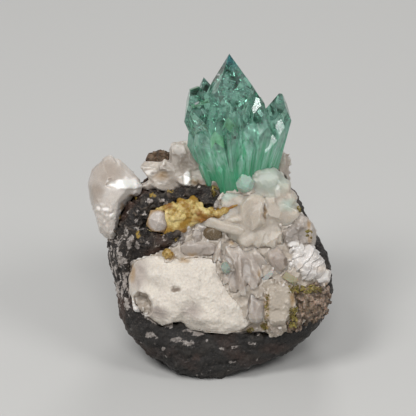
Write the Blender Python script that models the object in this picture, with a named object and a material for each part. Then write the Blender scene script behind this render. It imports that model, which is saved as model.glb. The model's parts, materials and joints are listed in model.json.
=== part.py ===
"""Green apophyllite spray on stilbite, heulandite and vesicular basalt: a hand specimen from a lava cavity.

Every piece is placed in the frame of the cavity's open face, which looks forward and up: millimetres across
the face, up the face and out of it. Its origin lies near the foot of the spray.
"""

import math
import random

import bmesh
import bpy
from mathutils import Euler, Matrix, Vector, noise

MM = 0.001
SPECIMEN = "green_apophyllite"

FACE_HEIGHT = 42.5 * MM  # the face frame's origin above the surface that the specimen stands on
FACE_TURN = math.radians(60.0)  # from lying flat to the slope of the open face
GAP = 0.3 * MM  # clearance between pieces that touch
CORNER_GROWTH = 1.7  # a sharp corner moves this much further, so that the flats beside it clear by a full gap

PYRAMID_TO_AXIS = math.radians(29.6)  # apophyllite's steep pyramid face against the crystal's long axis
ROOT_SHARE = 0.56  # a crystal's width at its root, as a share of its width at the shoulder

ROCK_CENTRE = (1.5, -15.0)
ROCK_OUTLINE = (
    (33.6, -17.8), (30.4, -9.5), (26.9, -3.0), (23.2, 4.1), (20.8, 9.5), (18.0, 14.0), (8.0, 16.6),
    (-5.0, 15.0), (-13.5, 11.0), (-19.0, 6.0), (-24.0, 0.0), (-27.4, -7.6), (-25.6, -18.4), (-23.4, -30.0),
    (-16.6, -39.6), (-9.2, -44.7), (1.9, -45.8), (12.4, -43.1), (25.6, -35.8), (32.8, -26.5),
)
ROCK_FRONT = 8.0
ROCK_BACK = 27.0
ROCK_SQUARENESS = 2.6
ROCK_LEVEL = -5.0
ROCK_LEAN = 0.005  # how fast the widest section falls back towards the top, per square millimetre
ROCK_LUMPS = ((11.0, 0.9), (5.0, 0.45))  # wavelength and height of the unevenness
ROCK_KEEP = 0.036  # share of the triangles kept after shaping
VUG_KEEP = 0.20
MASS_KEEP = 0.10

UNDERSIDE_BLOCK = 160.0  # millimetres: side of the block that cuts the flat underside

# Ridges on the rock's face: the path of each crest, its height and its half width.
RIDGES = (
    (((-23.0, -12.0), (-21.4, -6.0), (-18.8, -1.4), (-15.6, 1.4), (-10.0, 2.8), (-5.0, 3.6), (-0.4, 4.8)),
     4.8, 3.0),
    (((-19.0, -8.6), (-13.6, -9.4), (-8.6, -7.0)), 3.4, 2.6),
    (((-0.4, 1.4), (3.6, 0.4)), 5.0, 2.0),
)

VUG_CENTRE = (5.0, -13.0)
VUG_OUTLINE = (
    (-21.3, -24.3), (-21.5, -16.7), (-18.6, -13.4), (-9.9, -12.4), (-6.6, -8.3), (-3.9, -4.3), (1.6, -1.6),
    (3.4, 1.6), (4.2, 8.2), (7.2, 12.6), (14.0, 13.2), (19.2, 9.6), (22.6, 3.2), (26.0, -4.6), (29.4, -10.6),
    (31.8, -17.0), (30.4, -24.6), (24.6, -31.6), (18.1, -34.6), (8.6, -34.0), (-0.8, -33.8), (-4.4, -33.2),
    (-7.6, -30.4), (-11.2, -32.2), (-17.2, -29.0),
)
VUG_LEVEL = 4.0
VUG_DEPTH = 11.5
VUG_SQUARENESS = 3.2

# Masses that fill an outline in the face: outline, centre, level of the widest section, depth in front of it
# and behind it, and seed.
MASSES = {
    "stilbite_mound": (
        ((-21.2, -20.7), (-20.7, -16.2), (-18.6, -13.4), (-9.7, -12.2), (-4.6, -11.6), (2.0, -12.2),
         (4.0, -18.0), (6.8, -21.6), (10.4, -25.2), (11.6, -31.4), (8.4, -33.6), (0.3, -33.8), (-4.3, -33.0),
         (-7.6, -31.0), (-11.6, -32.0), (-15.4, -30.4), (-20.0, -26.6)),
        (-5.0, -22.5), 0.0, 7.6, 9.0, 3),
    "honey_crust": (
        ((-16.6, -5.1), (-15.7, -1.9), (-12.4, 0.3), (-8.9, 1.9), (-3.6, 3.1), (-1.2, 1.6), (3.0, -0.2),
         (7.2, 0.4), (4.4, -2.2), (1.4, -4.3), (-2.2, -4.5), (-4.9, -5.8), (-7.4, -7.8), (-10.6, -8.4),
         (-14.0, -7.6)),
        (-6.0, -2.4), 3.2, 3.8, 6.0, 4),
    "stilbite_left_lobe": (
        ((-32.5, 8.1), (-32.2, 3.2), (-30.6, -2.7), (-28.8, -7.4), (-26.7, -8.8), (-24.6, -8.2),
         (-24.0, -2.7), (-22.4, 0.8), (-20.0, 3.2), (-18.2, 5.4), (-18.2, 7.6), (-19.6, 9.0), (-21.6, 11.2),
         (-23.8, 13.3), (-26.5, 13.8), (-29.0, 13.2), (-31.5, 10.9)),
        (-25.6, 3.6), -3.2, 7.0, 10.0, 5),
    "stilbite_back_ridge": (
        ((-18.4, 12.2), (-16.5, 9.8), (-13.6, 9.4), (-11.2, 12.6), (-10.3, 15.6), (-10.0, 17.5), (-8.2, 18.4),
         (-3.0, 18.4), (3.0, 18.0), (7.0, 13.0), (6.4, 7.0), (4.0, 3.4), (0.6, 6.4), (-2.7, 6.2), (-7.6, 5.2),
         (-13.0, 5.0), (-16.7, 4.4), (-18.4, 6.4)),
        (-7.0, 10.6), -1.8, 4.2, 9.0, 6),
}
MASS_SQUARENESS = 2.3

# Each crystal of the spray: where it roots, where its four faces meet, its half width across the prism
# faces, how far its front pyramid face turns to the right in degrees, and how much of its point is missing.
SPRAY = {
    "main": ((9.0, 2.0, -3.0), (5.65, 40.9, 8.6), 7.2, 9.0, 0.0),
    "left": ((6.8, 3.0, -2.8), (-4.4, 34.2, 4.4), 4.6, 2.0, 2.2),
    "left_front": ((6.8, 3.0, -0.4), (-3.5, 31.9, 9.0), 4.2, -4.0, 4.4),
    "left_tip": ((4.6, 3.6, -4.6), (-1.2, 35.3, 0.0), 2.6, 12.0, 0.0),
    "right": ((14.4, 3.4, -2.6), (19.6, 31.4, 4.0), 3.4, 20.0, 0.8),
    "right_inner": ((10.6, 3.4, -0.4), (13.45, 30.5, 9.8), 2.2, 2.0, 1.5),
    "front": ((8.0, 3.0, 0.0), (5.3, 23.9, 13.8), 1.6, 0.0, 0.3),
    "front_left": ((6.0, 3.0, -0.4), (-2.8, 21.4, 8.8), 3.0, 12.0, 1.6),
    "front_inner": ((7.0, 3.0, 0.0), (1.7, 20.4, 12.0), 2.0, 24.0, 0.4),
    "front_right": ((11.4, 3.8, -0.4), (15.1, 24.8, 9.0), 2.3, -8.0, 1.2),
    "low_right": ((14.2, 4.0, -1.0), (19.0, 23.0, 7.4), 2.4, 30.0, 0.3),
    "low_left": ((6.0, 4.2, -1.2), (-5.2, 20.8, 4.0), 2.9, 30.0, 0.6),
    "low_left_short": ((5.6, 4.4, -0.6), (-2.6, 13.6, 4.4), 2.5, 10.0, 0.6),
    "back_middle": ((9.0, 4.0, -4.6), (8.0, 29.0, -5.0), 4.6, 36.0, 0.8),
    "back_left": ((6.0, 4.0, -4.8), (-0.6, 26.0, -5.0), 3.6, -20.0, 0.6),
    "back_right": ((12.0, 4.4, -4.4), (15.8, 25.6, -3.6), 3.6, 14.0, 0.8),
}

# Rounded crystals with flat faces, joined where one piece has several. Each: centre, half sizes, turn in
# degrees, squareness, number of flat faces, seed.
CRYSTALS = {
    "apophyllite_bud": (((10.0, 6.6, 5.2), (2.5, 2.7, 2.5), (10, 0, 12), 2.6, 8, 11),),
    "apophyllite_chip": (((4.7, -15.9, 6.6), (1.3, 1.7, 1.3), (0, 0, 20), 2.8, 8, 12),),
    "stilbite_pebble": (((18.6, -14.0, 4.2), (2.5, 3.2, 2.9), (0, 0, 38), 2.2, 3, 13),),
    "honey_drop": (((-10.8, -12.3, 4.9), (1.3, 1.3, 1.6), (0, 0, 0), 2.1, 0, 14),),
    "crust_crystal": (((-13.3, -3.8, 4.6), (3.3, 3.1, 2.6), (-8, 6, 18), 2.7, 7, 15),),
    "heulandite_plate": (((30.5, -18.1, -0.2), (2.8, 3.4, 3.6), (0, 0, -14), 2.8, 7, 16),),
    "heulandite_pearly": (
        ((26.4, -14.7, 1.8), (4.6, 4.4, 4.2), (6, -10, 24), 2.9, 8, 17),
        ((22.6, -15.4, 2.2), (1.9, 1.7, 2.0), (0, 0, 12), 2.6, 6, 41),
    ),
    "stilbite_grey_dome": (((1.5, -6.6, 2.6), (3.0, 2.9, 3.8), (0, 0, 0), 2.1, 2, 18),),
    "stilbite_knot": (
        ((-5.6, -5.4, 2.4), (2.0, 3.0, 3.2), (0, 0, -14), 2.8, 7, 19),
        ((-3.2, -7.6, 1.8), (2.2, 2.4, 3.2), (0, 0, 24), 2.7, 7, 42),
        ((-1.2, -4.8, 2.2), (3.0, 1.9, 3.0), (0, 0, -8), 2.4, 4, 43),
    ),
    "stilbite_band": (((-1.8, -11.0, 2.2), (6.2, 2.8, 4.0), (0, 0, -4), 2.5, 4, 20),),
    "stilbite_round": (((13.0, -26.6, 1.6), (3.1, 4.7, 5.0), (0, 0, -8), 2.4, 4, 21),),
    "stilbite_fan": (
        ((11.6, -1.6, 1.8), (4.8, 6.6, 6.4), (8, 0, -6), 2.6, 9, 25),
        ((16.0, 5.4, 0.8), (5.0, 5.8, 5.6), (0, 0, -22), 2.4, 4, 22),
        ((7.0, -2.6, 1.2), (4.6, 4.6, 5.4), (0, 10, 10), 2.4, 6, 44),
        ((19.0, -1.2, 1.4), (6.0, 4.8, 5.6), (0, 14, -16), 2.6, 9, 26),
        ((16.6, -7.4, 1.2), (4.0, 4.6, 5.6), (10, 0, 8), 2.5, 9, 45),
        ((8.4, -6.4, 0.6), (5.4, 3.6, 5.8), (0, 0, -22), 2.4, 6, 46),
    ),
    "stilbite_wedge": (
        ((23.2, -7.2, 0.6), (5.2, 5.4, 5.4), (0, 0, 20), 2.5, 9, 27),
        ((26.4, -6.4, -0.6), (2.9, 4.6, 5.0), (0, 0, 24), 2.6, 8, 47),
    ),
    "stilbite_sheaf": (
        ((9.4, -14.6, -0.4), (7.4, 7.8, 6.0), (0, 0, 14), 2.4, 4, 23),
        ((6.0, -16.2, 3.4), (1.7, 5.6, 2.6), (-8, 0, -16), 2.6, 5, 48),
        ((8.8, -17.0, 4.2), (1.7, 5.8, 2.6), (-8, 0, 2), 2.6, 5, 49),
        ((11.8, -16.4, 3.8), (1.8, 5.4, 2.6), (-8, 0, 20), 2.6, 5, 50),
        ((13.2, -12.6, 3.2), (1.7, 4.4, 2.6), (-8, 0, 40), 2.6, 5, 51),
        ((2.6, -11.6, 4.4), (1.2, 3.4, 2.0), (0, 0, -24), 2.7, 5, 52),
    ),
    "stilbite_block": (
        ((18.9, -25.4, 1.4), (5.1, 6.8, 6.0), (0, 0, 4), 2.7, 10, 24),
        ((16.4, -20.6, 2.4), (2.6, 2.4, 3.6), (0, 0, 24), 2.6, 6, 53),
        ((18.0, -31.4, 0.4), (3.4, 3.2, 4.6), (0, 0, -20), 2.6, 6, 54),
    ),
    "olive_druse": (
        ((26.6, -24.6, -1.4), (6.4, 6.6, 5.8), (0, 0, -34), 2.4, 3, 28),
        ((22.8, -30.0, -0.4), (3.2, 3.6, 4.8), (0, 0, -30), 2.3, 0, 55),
    ),
    "brown_knob": (((-13.2, 12.0, -5.4), (3.4, 3.0, 4.4), (0, 0, 22), 2.2, 0, 29),),
    "stilbite_back_right": (((16.3, 11.4, -9.0), (6.0, 6.8, 5.8), (0, 0, 12), 2.5, 5, 30),),
}
CRYSTAL_UNEVENNESS = 0.07  # share of a rounded crystal's size
FLAT_NEAREST = 0.64  # a flat face's distance from the middle, as a share of the rounded size there
FLAT_FURTHEST = 0.88
SMALL_CRYSTAL = 2.0  # millimetres: a crystal whose longest half size is less gets the coarsest mesh
CRYSTAL_KEEP = 0.27

# The dark pocket between the mound and the lower left rim.
HOLLOW = ((-17.6, -25.6, 4.6), (2.4, 3.7, 5.4), (0, 0, 28), 2.2, 0, 31)

# Small straight prisms: the two ends and the half width across the faces.
PRISMS = {
    "stilbite_needle": ((15.0, -19.2, 4.4), (17.6, -16.6, 6.6), 0.62),
    "olive_prism": ((20.6, -18.0, 4.0), (24.4, -20.2, 5.2), 0.95),
}

# Small pieces come first and stay whole. Each later piece makes room for the earlier ones that it reaches.
ORDER = (
    "apophyllite_bud", "apophyllite_chip", "stilbite_needle", "olive_prism", "stilbite_pebble", "honey_drop",
    "crust_crystal", "honey_crust", "heulandite_pearly", "heulandite_plate", "stilbite_grey_dome",
    "stilbite_knot", "stilbite_band", "stilbite_round", "stilbite_fan", "stilbite_wedge", "stilbite_block",
    "olive_druse", "stilbite_sheaf", "stilbite_mound", "brown_knob", "stilbite_left_lobe",
    "stilbite_back_ridge", "stilbite_back_right",
)
SEATED_IN_ROCK = ("stilbite_left_lobe", "stilbite_back_ridge")  # the rock makes room for these

# Colour and roughness of each mineral.
FINISHES = {
    "basalt": ((0.030, 0.023, 0.019), 0.85),
    "apophyllite": ((0.115, 0.340, 0.230), 0.08),
    "stilbite": ((0.600, 0.540, 0.470), 0.45),
    "heulandite": ((0.780, 0.740, 0.700), 0.30),
    "honey_crust": ((0.470, 0.330, 0.050), 0.50),
    "olive_druse": ((0.240, 0.190, 0.090), 0.70),
    "brown_clay": ((0.120, 0.080, 0.045), 0.85),
}
FINISH_OF = {
    "basalt_matrix": "basalt",
    "apophyllite_spray": "apophyllite",
    "apophyllite_bud": "apophyllite",
    "apophyllite_chip": "apophyllite",
    "heulandite_pearly": "heulandite",
    "heulandite_plate": "heulandite",
    "honey_crust": "honey_crust",
    "honey_drop": "honey_crust",
    "olive_druse": "olive_druse",
    "olive_prism": "olive_druse",
    "brown_knob": "brown_clay",
}


def clear_scene():
    for obj in list(bpy.data.objects):
        bpy.data.objects.remove(obj, do_unlink=True)


def new_collection(name):
    collection = bpy.data.collections.new(name)
    bpy.context.scene.collection.children.link(collection)
    return collection


def material_for(name):
    finish = FINISH_OF.get(name, "stilbite")
    colour, roughness = FINISHES[finish]
    material = bpy.data.materials.new(f"{name}_{finish}")
    material.use_nodes = True
    shader = material.node_tree.nodes["Principled BSDF"]
    shader.inputs["Base Color"].default_value = (*colour, 1.0)
    shader.inputs["Roughness"].default_value = roughness
    shader.inputs["Metallic"].default_value = 0.0
    material.diffuse_color = (*colour, 1.0)
    return material


def object_from(bm, name, home, face, smooth_angle=None):
    """A piece in the face frame, whose mesh is in millimetres until here."""
    bmesh.ops.recalc_face_normals(bm, faces=bm.faces)
    bmesh.ops.scale(bm, vec=(MM, MM, MM), verts=bm.verts)
    mesh = bpy.data.meshes.new(name)
    bm.to_mesh(mesh)
    bm.free()
    if smooth_angle is not None:
        mesh.shade_smooth()
        mesh.set_sharp_from_angle(angle=math.radians(smooth_angle))
    obj = bpy.data.objects.new(name, mesh)
    home.objects.link(obj)
    obj.parent = face
    return obj


def hide_as_cutter(obj):
    obj.hide_render = True
    obj.display_type = "WIRE"


def thin_out(obj, keep):
    """Keeps this share of the triangles, fewest where the surface is flat."""
    obj.modifiers.new("fewer_triangles", "DECIMATE").ratio = keep


def smooth_outline(points, centre):
    """The outline's distance from its centre as a smooth function of the angle."""
    polar = sorted((math.atan2(y - centre[1], x - centre[0]), math.hypot(x - centre[0], y - centre[1]))
                   for x, y in points)
    turn = 2 * math.pi
    looped = [(a - turn, r) for a, r in polar[-2:]] + polar + [(a + turn, r) for a, r in polar[:2]]

    def slope(i):
        return (looped[i + 1][1] - looped[i - 1][1]) / (looped[i + 1][0] - looped[i - 1][0])

    def radius(angle):
        i = max(k for k in range(1, len(looped) - 2) if looped[k][0] <= angle or k == 1)
        (a0, r0), (a1, r1) = looped[i], looped[i + 1]
        span = a1 - a0
        t = (angle - a0) / span
        m0, m1 = slope(i) * span, slope(i + 1) * span
        return ((2 * t**3 - 3 * t**2 + 1) * r0 + (t**3 - 2 * t**2 + t) * m0
                + (3 * t**2 - 2 * t**3) * r1 + (t**3 - t**2) * m1)

    return radius


def outlined_solid(outline, centre, front, back, level, squareness, subdivisions):
    """A ball pressed to an outline in the face, with its own depth in front of its level and behind it."""
    radius = smooth_outline(outline, centre)
    bm = bmesh.new()
    bmesh.ops.create_icosphere(bm, subdivisions=subdivisions, radius=1.0)
    for vert in bm.verts:
        x, y, z = vert.co
        flat = math.hypot(x, y)
        swell = (flat**squareness + abs(z) ** squareness) ** (-1 / squareness)
        reach = radius(math.atan2(y, x)) * flat * swell
        across = centre[0] + reach * x / max(flat, 1e-6)
        up = centre[1] + reach * y / max(flat, 1e-6)
        out = level(across, up) + z * swell * (front if z > 0 else back)
        vert.co = (across, up, out)
    return bm


def roughen(bm, lumps, seed):
    """Pushes the surface in and out by smooth noise, one wavelength after another."""
    bm.normal_update()
    shift = Vector((seed * 3.7, seed * 1.3, seed * 5.1))
    moves = [(vert, vert.normal.copy()) for vert in bm.verts]
    for vert, normal in moves:
        height = sum(size * noise.noise(vert.co / wave + shift) for wave, size in lumps)
        vert.co += normal * height


def distance_to_path(point, path):
    nearest = math.inf
    for start, end in zip(path, path[1:]):
        a, b = Vector(start), Vector(end)
        along = max(0.0, min(1.0, (point - a).dot(b - a) / (b - a).length_squared))
        nearest = min(nearest, (point - a - along * (b - a)).length)
    return nearest


def level_at(out):
    return lambda _across, _up: out


def rock_level(_across, up):
    return ROCK_LEVEL - ROCK_LEAN * max(0.0, up - ROCK_CENTRE[1]) ** 2


def make_rock(home, face):
    bm = outlined_solid(ROCK_OUTLINE, ROCK_CENTRE, ROCK_FRONT, ROCK_BACK, rock_level, ROCK_SQUARENESS, 6)
    roughen(bm, ROCK_LUMPS, seed=1)
    for vert in bm.verts:
        if vert.co.z > rock_level(vert.co.x, vert.co.y):
            for path, height, half_width in RIDGES:
                away = distance_to_path(vert.co.xy, path)
                vert.co.z += height * math.exp(-((away / half_width) ** 2))
    rock = object_from(bm, "basalt_matrix", home, face, smooth_angle=60)
    thin_out(rock, ROCK_KEEP)
    return rock


def make_underside_cutter(home):
    """A block whose top is the surface that the specimen stands on."""
    bm = bmesh.new()
    bmesh.ops.create_cube(bm, size=UNDERSIDE_BLOCK)
    bmesh.ops.translate(bm, vec=(0, 0, -UNDERSIDE_BLOCK / 2), verts=bm.verts)
    block = object_from(bm, "underside_cutter", home, None)
    hide_as_cutter(block)
    return block


def make_vug(home, face):
    bm = outlined_solid(VUG_OUTLINE, VUG_CENTRE, VUG_DEPTH, VUG_DEPTH, level_at(VUG_LEVEL), VUG_SQUARENESS, 4)
    roughen(bm, ((6.0, 0.5),), seed=2)
    vug = object_from(bm, "vug_cutter", home, face)
    thin_out(vug, VUG_KEEP)
    hide_as_cutter(vug)
    return vug


def make_mass(name, outline, centre, out, front, back, seed, home, face):
    bm = outlined_solid(outline, centre, front, back, level_at(out), MASS_SQUARENESS, 4)
    roughen(bm, ((5.0, 0.35),), seed)
    mass = object_from(bm, name, home, face, smooth_angle=60)
    thin_out(mass, MASS_KEEP)
    return mass


def make_rounded_crystal(name, at, radii, turn, squareness, flats, seed, home, face):
    """A rounded crystal with a few flat faces pressed on it at angles that its seed picks."""
    chance = random.Random(seed)
    bm = bmesh.new()
    is_small = max(radii) < SMALL_CRYSTAL
    bmesh.ops.create_icosphere(bm, subdivisions=2 if is_small else 3, radius=1.0)
    for vert in bm.verts:
        total = sum(abs(x) ** squareness for x in vert.co) ** (1 / squareness)
        vert.co = vert.co / total
    roughen(bm, ((0.9, CRYSTAL_UNEVENNESS),), seed)
    for _ in range(flats):
        normal = Vector((chance.gauss(0, 1), chance.gauss(0, 1), chance.gauss(0, 1))).normalized()
        furthest = max(vert.co.dot(normal) for vert in bm.verts)
        limit = furthest * chance.uniform(FLAT_NEAREST, FLAT_FURTHEST)
        for vert in bm.verts:
            beyond = vert.co.dot(normal) - limit
            if beyond > 0:
                vert.co -= normal * beyond
    bmesh.ops.scale(bm, vec=radii, verts=bm.verts)
    spin = Euler([math.radians(angle) for angle in turn]).to_matrix()
    bmesh.ops.rotate(bm, matrix=spin, verts=bm.verts)
    bmesh.ops.translate(bm, vec=at, verts=bm.verts)
    crystal = object_from(bm, name, home, face, smooth_angle=50)
    if not is_small:
        thin_out(crystal, CRYSTAL_KEEP)
    return crystal


def slice_off(bm, point, normal):
    """Cuts away what lies beyond a plane and closes the cut with a flat face."""
    everything = bm.verts[:] + bm.edges[:] + bm.faces[:]
    cut = bmesh.ops.bisect_plane(bm, geom=everything, plane_co=point, plane_no=normal, clear_outer=True)
    rim = [item for item in cut["geom_cut"] if isinstance(item, bmesh.types.BMEdge)]
    if rim:
        bmesh.ops.holes_fill(bm, edges=rim)


def make_pointed_crystal(name, root, tip, half_width, spin, blunt, home, face, root_share=ROOT_SHARE):
    """A square prism that narrows to its root, ended by four steep faces over the prism's edges."""
    length = (Vector(tip) - Vector(root)).length
    axis = (Vector(tip) - Vector(root)).normalized()
    bm = bmesh.new()
    bmesh.ops.create_cube(bm, size=2.0)
    for vert in bm.verts:
        width = half_width * (root_share if vert.co.z < 0 else 1.0)
        vert.co = (vert.co.x * width, vert.co.y * width, length if vert.co.z > 0 else 0.0)
    for quarter in range(4):
        heading = math.radians(45 + 90 * quarter)
        normal = Vector((math.cos(heading), math.sin(heading), math.tan(PYRAMID_TO_AXIS)))
        slice_off(bm, (0, 0, length), normal.normalized())
    if blunt:
        slice_off(bm, (0, 0, length - blunt), (0, 0, 1))
    facing = Vector((0, 0, 1)) - axis * axis.z
    facing.normalize()
    stand = Matrix((facing, axis.cross(facing), axis)).transposed()
    bmesh.ops.rotate(bm, matrix=stand @ Matrix.Rotation(math.radians(spin - 45), 3, "Z"), verts=bm.verts)
    bmesh.ops.translate(bm, vec=root, verts=bm.verts)
    return object_from(bm, name, home, face)


def face_box(obj):
    corners = [vert.co for vert in obj.data.vertices]
    low = Vector([min(corner[i] for corner in corners) for i in range(3)])
    high = Vector([max(corner[i] for corner in corners) for i in range(3)])
    return low, high


def reaches(first, second):
    (low_a, high_a), (low_b, high_b) = face_box(first), face_box(second)
    margin = 2 * GAP
    return all(low_a[i] - margin < high_b[i] and low_b[i] - margin < high_a[i] for i in range(3))


def grown_copy(obj, growth, home):
    """The same shape with a gap's growth all over, to cut its neighbours with."""
    grown = bpy.data.objects.new(f"{obj.name}_room", obj.data)
    home.objects.link(grown)
    grown.parent = obj.parent
    for modifier in obj.modifiers:
        if modifier.type == "DECIMATE":
            grown.modifiers.new(modifier.name, "DECIMATE").ratio = modifier.ratio
    swell = grown.modifiers.new("clearance", "DISPLACE")
    swell.mid_level = 0.0
    swell.strength = growth
    hide_as_cutter(grown)
    return grown


def add_boolean(obj, other, operation):
    boolean = obj.modifiers.new(f"{operation.lower()}_{other.name}"[:60], "BOOLEAN")
    boolean.operation = operation
    boolean.solver = "EXACT"
    boolean.object = other


def join_crystals(crystals):
    """Joins the others to the first one and returns it."""
    first = crystals[0]
    for crystal in crystals[1:]:
        hide_as_cutter(crystal)
        add_boolean(first, crystal, "UNION")
    return first


def make_spray(home, cutters, face):
    """The joined spray, and the grown crystals that its neighbours are cut with."""
    crystals = []
    for name, (root, tip, half_width, spin, blunt) in SPRAY.items():
        is_main = name == "main"
        crystals.append(make_pointed_crystal("apophyllite_spray" if is_main else f"spray_{name}", root, tip,
                                             half_width, spin, blunt, home if is_main else cutters, face))
    rooms = [grown_copy(crystal, CORNER_GROWTH * GAP, cutters) for crystal in crystals]
    return join_crystals(crystals), rooms


def make_minerals(home, cutters, face):
    """Each mineral piece, and the grown shapes that its neighbours are cut with."""
    pieces, rooms = {}, {}
    for name, values in MASSES.items():
        pieces[name] = make_mass(name, *values, home, face)
        rooms[name] = [grown_copy(pieces[name], GAP, cutters)]
    for name, (root, tip, half_width) in PRISMS.items():
        pieces[name] = make_pointed_crystal(name, root, tip, half_width, 45, half_width, home, face,
                                            root_share=1.0)
        rooms[name] = [grown_copy(pieces[name], CORNER_GROWTH * GAP, cutters)]
    for name, rows in CRYSTALS.items():
        crystals = []
        for number, row in enumerate(rows):
            crystals.append(make_rounded_crystal(name if number == 0 else f"{name}_{number}", *row,
                                                 cutters if number else home, face))
        rooms[name] = [grown_copy(crystal, GAP, cutters) for crystal in crystals]
        pieces[name] = join_crystals(crystals)
    return pieces, rooms


def main():
    clear_scene()
    home = new_collection(SPECIMEN)
    cutters = new_collection("cutters")

    face = bpy.data.objects.new("face", None)
    home.objects.link(face)
    face.location = (0.0, 0.0, FACE_HEIGHT)
    face.rotation_euler = (FACE_TURN, 0.0, 0.0)

    rock = make_rock(home, face)
    vug = make_vug(cutters, face)
    rock_room = grown_copy(rock, GAP, cutters)
    vug_room = grown_copy(vug, -GAP, cutters)
    add_boolean(rock, make_underside_cutter(cutters), "DIFFERENCE")
    add_boolean(rock, vug, "DIFFERENCE")
    add_boolean(rock_room, vug_room, "DIFFERENCE")

    spray, spray_rooms = make_spray(home, cutters, face)
    add_boolean(spray, rock_room, "DIFFERENCE")

    pieces, rooms = make_minerals(home, cutters, face)
    hollow = make_rounded_crystal("hollow_cutter", *HOLLOW, cutters, face)
    hide_as_cutter(hollow)
    add_boolean(pieces["stilbite_mound"], hollow, "DIFFERENCE")

    taken = list(spray_rooms)
    for name in ORDER:
        for room in taken:
            if any(reaches(own, room) for own in rooms[name]):
                add_boolean(pieces[name], room, "DIFFERENCE")
        if name in SEATED_IN_ROCK:
            add_boolean(rock, rooms[name][0], "DIFFERENCE")
        else:
            add_boolean(pieces[name], rock_room, "DIFFERENCE")
        taken += rooms[name]

    for name, piece in {"basalt_matrix": rock, "apophyllite_spray": spray, **pieces}.items():
        piece.data.materials.append(material_for(name))


main()
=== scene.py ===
"""Looks of a green apophyllite specimen: its crystals, white minerals, honey crust and rock, and the studio.

Pieces are shaped in the frame of the cavity's open face, as the CAD model's are: millimetres across the face,
up the face and out of it towards the camera. Each is brought to the model's metres when it is finished.
"""

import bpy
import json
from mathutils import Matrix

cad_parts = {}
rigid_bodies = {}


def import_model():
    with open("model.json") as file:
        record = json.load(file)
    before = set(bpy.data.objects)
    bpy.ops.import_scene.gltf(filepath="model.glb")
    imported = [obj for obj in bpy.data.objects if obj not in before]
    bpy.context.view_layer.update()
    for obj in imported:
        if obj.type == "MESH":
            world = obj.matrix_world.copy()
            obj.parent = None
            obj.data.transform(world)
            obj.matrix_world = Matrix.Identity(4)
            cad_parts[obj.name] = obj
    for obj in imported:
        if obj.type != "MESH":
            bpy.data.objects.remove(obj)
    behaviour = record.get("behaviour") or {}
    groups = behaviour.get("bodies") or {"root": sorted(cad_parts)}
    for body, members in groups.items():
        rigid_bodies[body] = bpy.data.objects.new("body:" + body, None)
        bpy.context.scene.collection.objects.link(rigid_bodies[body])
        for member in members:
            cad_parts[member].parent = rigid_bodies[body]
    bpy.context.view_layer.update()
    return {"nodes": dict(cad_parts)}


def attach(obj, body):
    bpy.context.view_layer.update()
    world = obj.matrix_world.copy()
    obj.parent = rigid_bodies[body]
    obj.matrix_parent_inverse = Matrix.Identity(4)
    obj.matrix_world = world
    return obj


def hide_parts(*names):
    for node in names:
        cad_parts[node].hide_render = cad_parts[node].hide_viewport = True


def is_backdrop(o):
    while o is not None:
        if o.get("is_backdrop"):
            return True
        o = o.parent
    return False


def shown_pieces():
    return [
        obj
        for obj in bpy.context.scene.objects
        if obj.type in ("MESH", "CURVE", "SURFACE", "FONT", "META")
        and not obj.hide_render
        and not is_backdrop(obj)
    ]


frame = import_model()

import json
import math
import random
from functools import partial

import bmesh
import bpy
from bpy.props import FloatProperty, FloatVectorProperty, IntProperty, PointerProperty
from mathutils import Euler, Matrix, Vector, noise
from mathutils.bvhtree import BVHTree

bl_info = {
    "name": "Green apophyllite specimen",
    "version": (1, 0, 0),
    "blender": (4, 5, 0),
    "location": "3D View > Sidebar > Specimen",
    "description": "Builds a green apophyllite specimen's crystals, white minerals, crust, rock and studio",
    "category": "Object",
}

BODY = "root"
MM = 0.001
FACE_HEIGHT = 42.5  # millimetres from the surface that the specimen stands on to the face frame's origin
FACE_TURN = math.radians(60.0)  # from lying flat to the slope of the open face
FACE = (Matrix.Translation((0.0, 0.0, FACE_HEIGHT * MM)) @ Matrix.Rotation(FACE_TURN, 4, "X")
        @ Matrix.Scale(MM, 4))
TO_FACE = FACE.inverted()

PYRAMID_TO_AXIS = math.radians(29.6)  # apophyllite's steep pyramid face against the crystal's long axis
ROOT_SHARE = 0.56  # a crystal's width at its root, as a share of its width at the shoulder
DROP_HEIGHT = 40.0  # millimetres out of the face: higher than any piece
WHITE_BACK = -4.0  # millimetres: a white piece's stains are laid out by place above this depth
ROCK_BACK = -9.0  # the same for the rock
FLAT_BELOW = 0.5 * MM  # the rock's underside is pressed flat below this height

# The cavity's lining of small white crystals ends at this outline in the face.
LINED = (
    (-13.8, -31.4), (-6.4, -33.2), (6.0, -33.7), (18.0, -33.9), (24.8, -31.8), (29.6, -27.0), (31.4, -20.6),
    (30.2, -14.4), (27.9, -9.0), (24.6, -3.6), (22.0, 2.4), (20.4, 6.4), (14.4, 8.4), (9.8, 5.2), (3.4, 4.0),
    (-0.6, -2.8), (-6.8, -3.8), (-7.4, -8.2), (-11.6, -11.4), (-15.6, -12.8), (-20.8, -14.4), (-21.0, -22.0),
    (-19.2, -27.0), (-17.0, -29.4),
)
LINING_STEP = 0.5  # millimetres between the points of the lining's grid
CLOSING = 4  # steps of the lining's grid that a crease may be wide on either side
CAVITY_DEPTH = -12.0  # millimetres: how deep the grid is taken to be where nothing lies under it
LINING_THICKNESS = 2.4
TOOTH = (-7.4, -30.6, 2.6, 2.6)  # where bare rock shows through at the mound's foot: across, up, half sizes
FAN_CENTRE = Vector((9.0, -18.0, -6.0))  # the point that the spray's fibres fan out from

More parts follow.
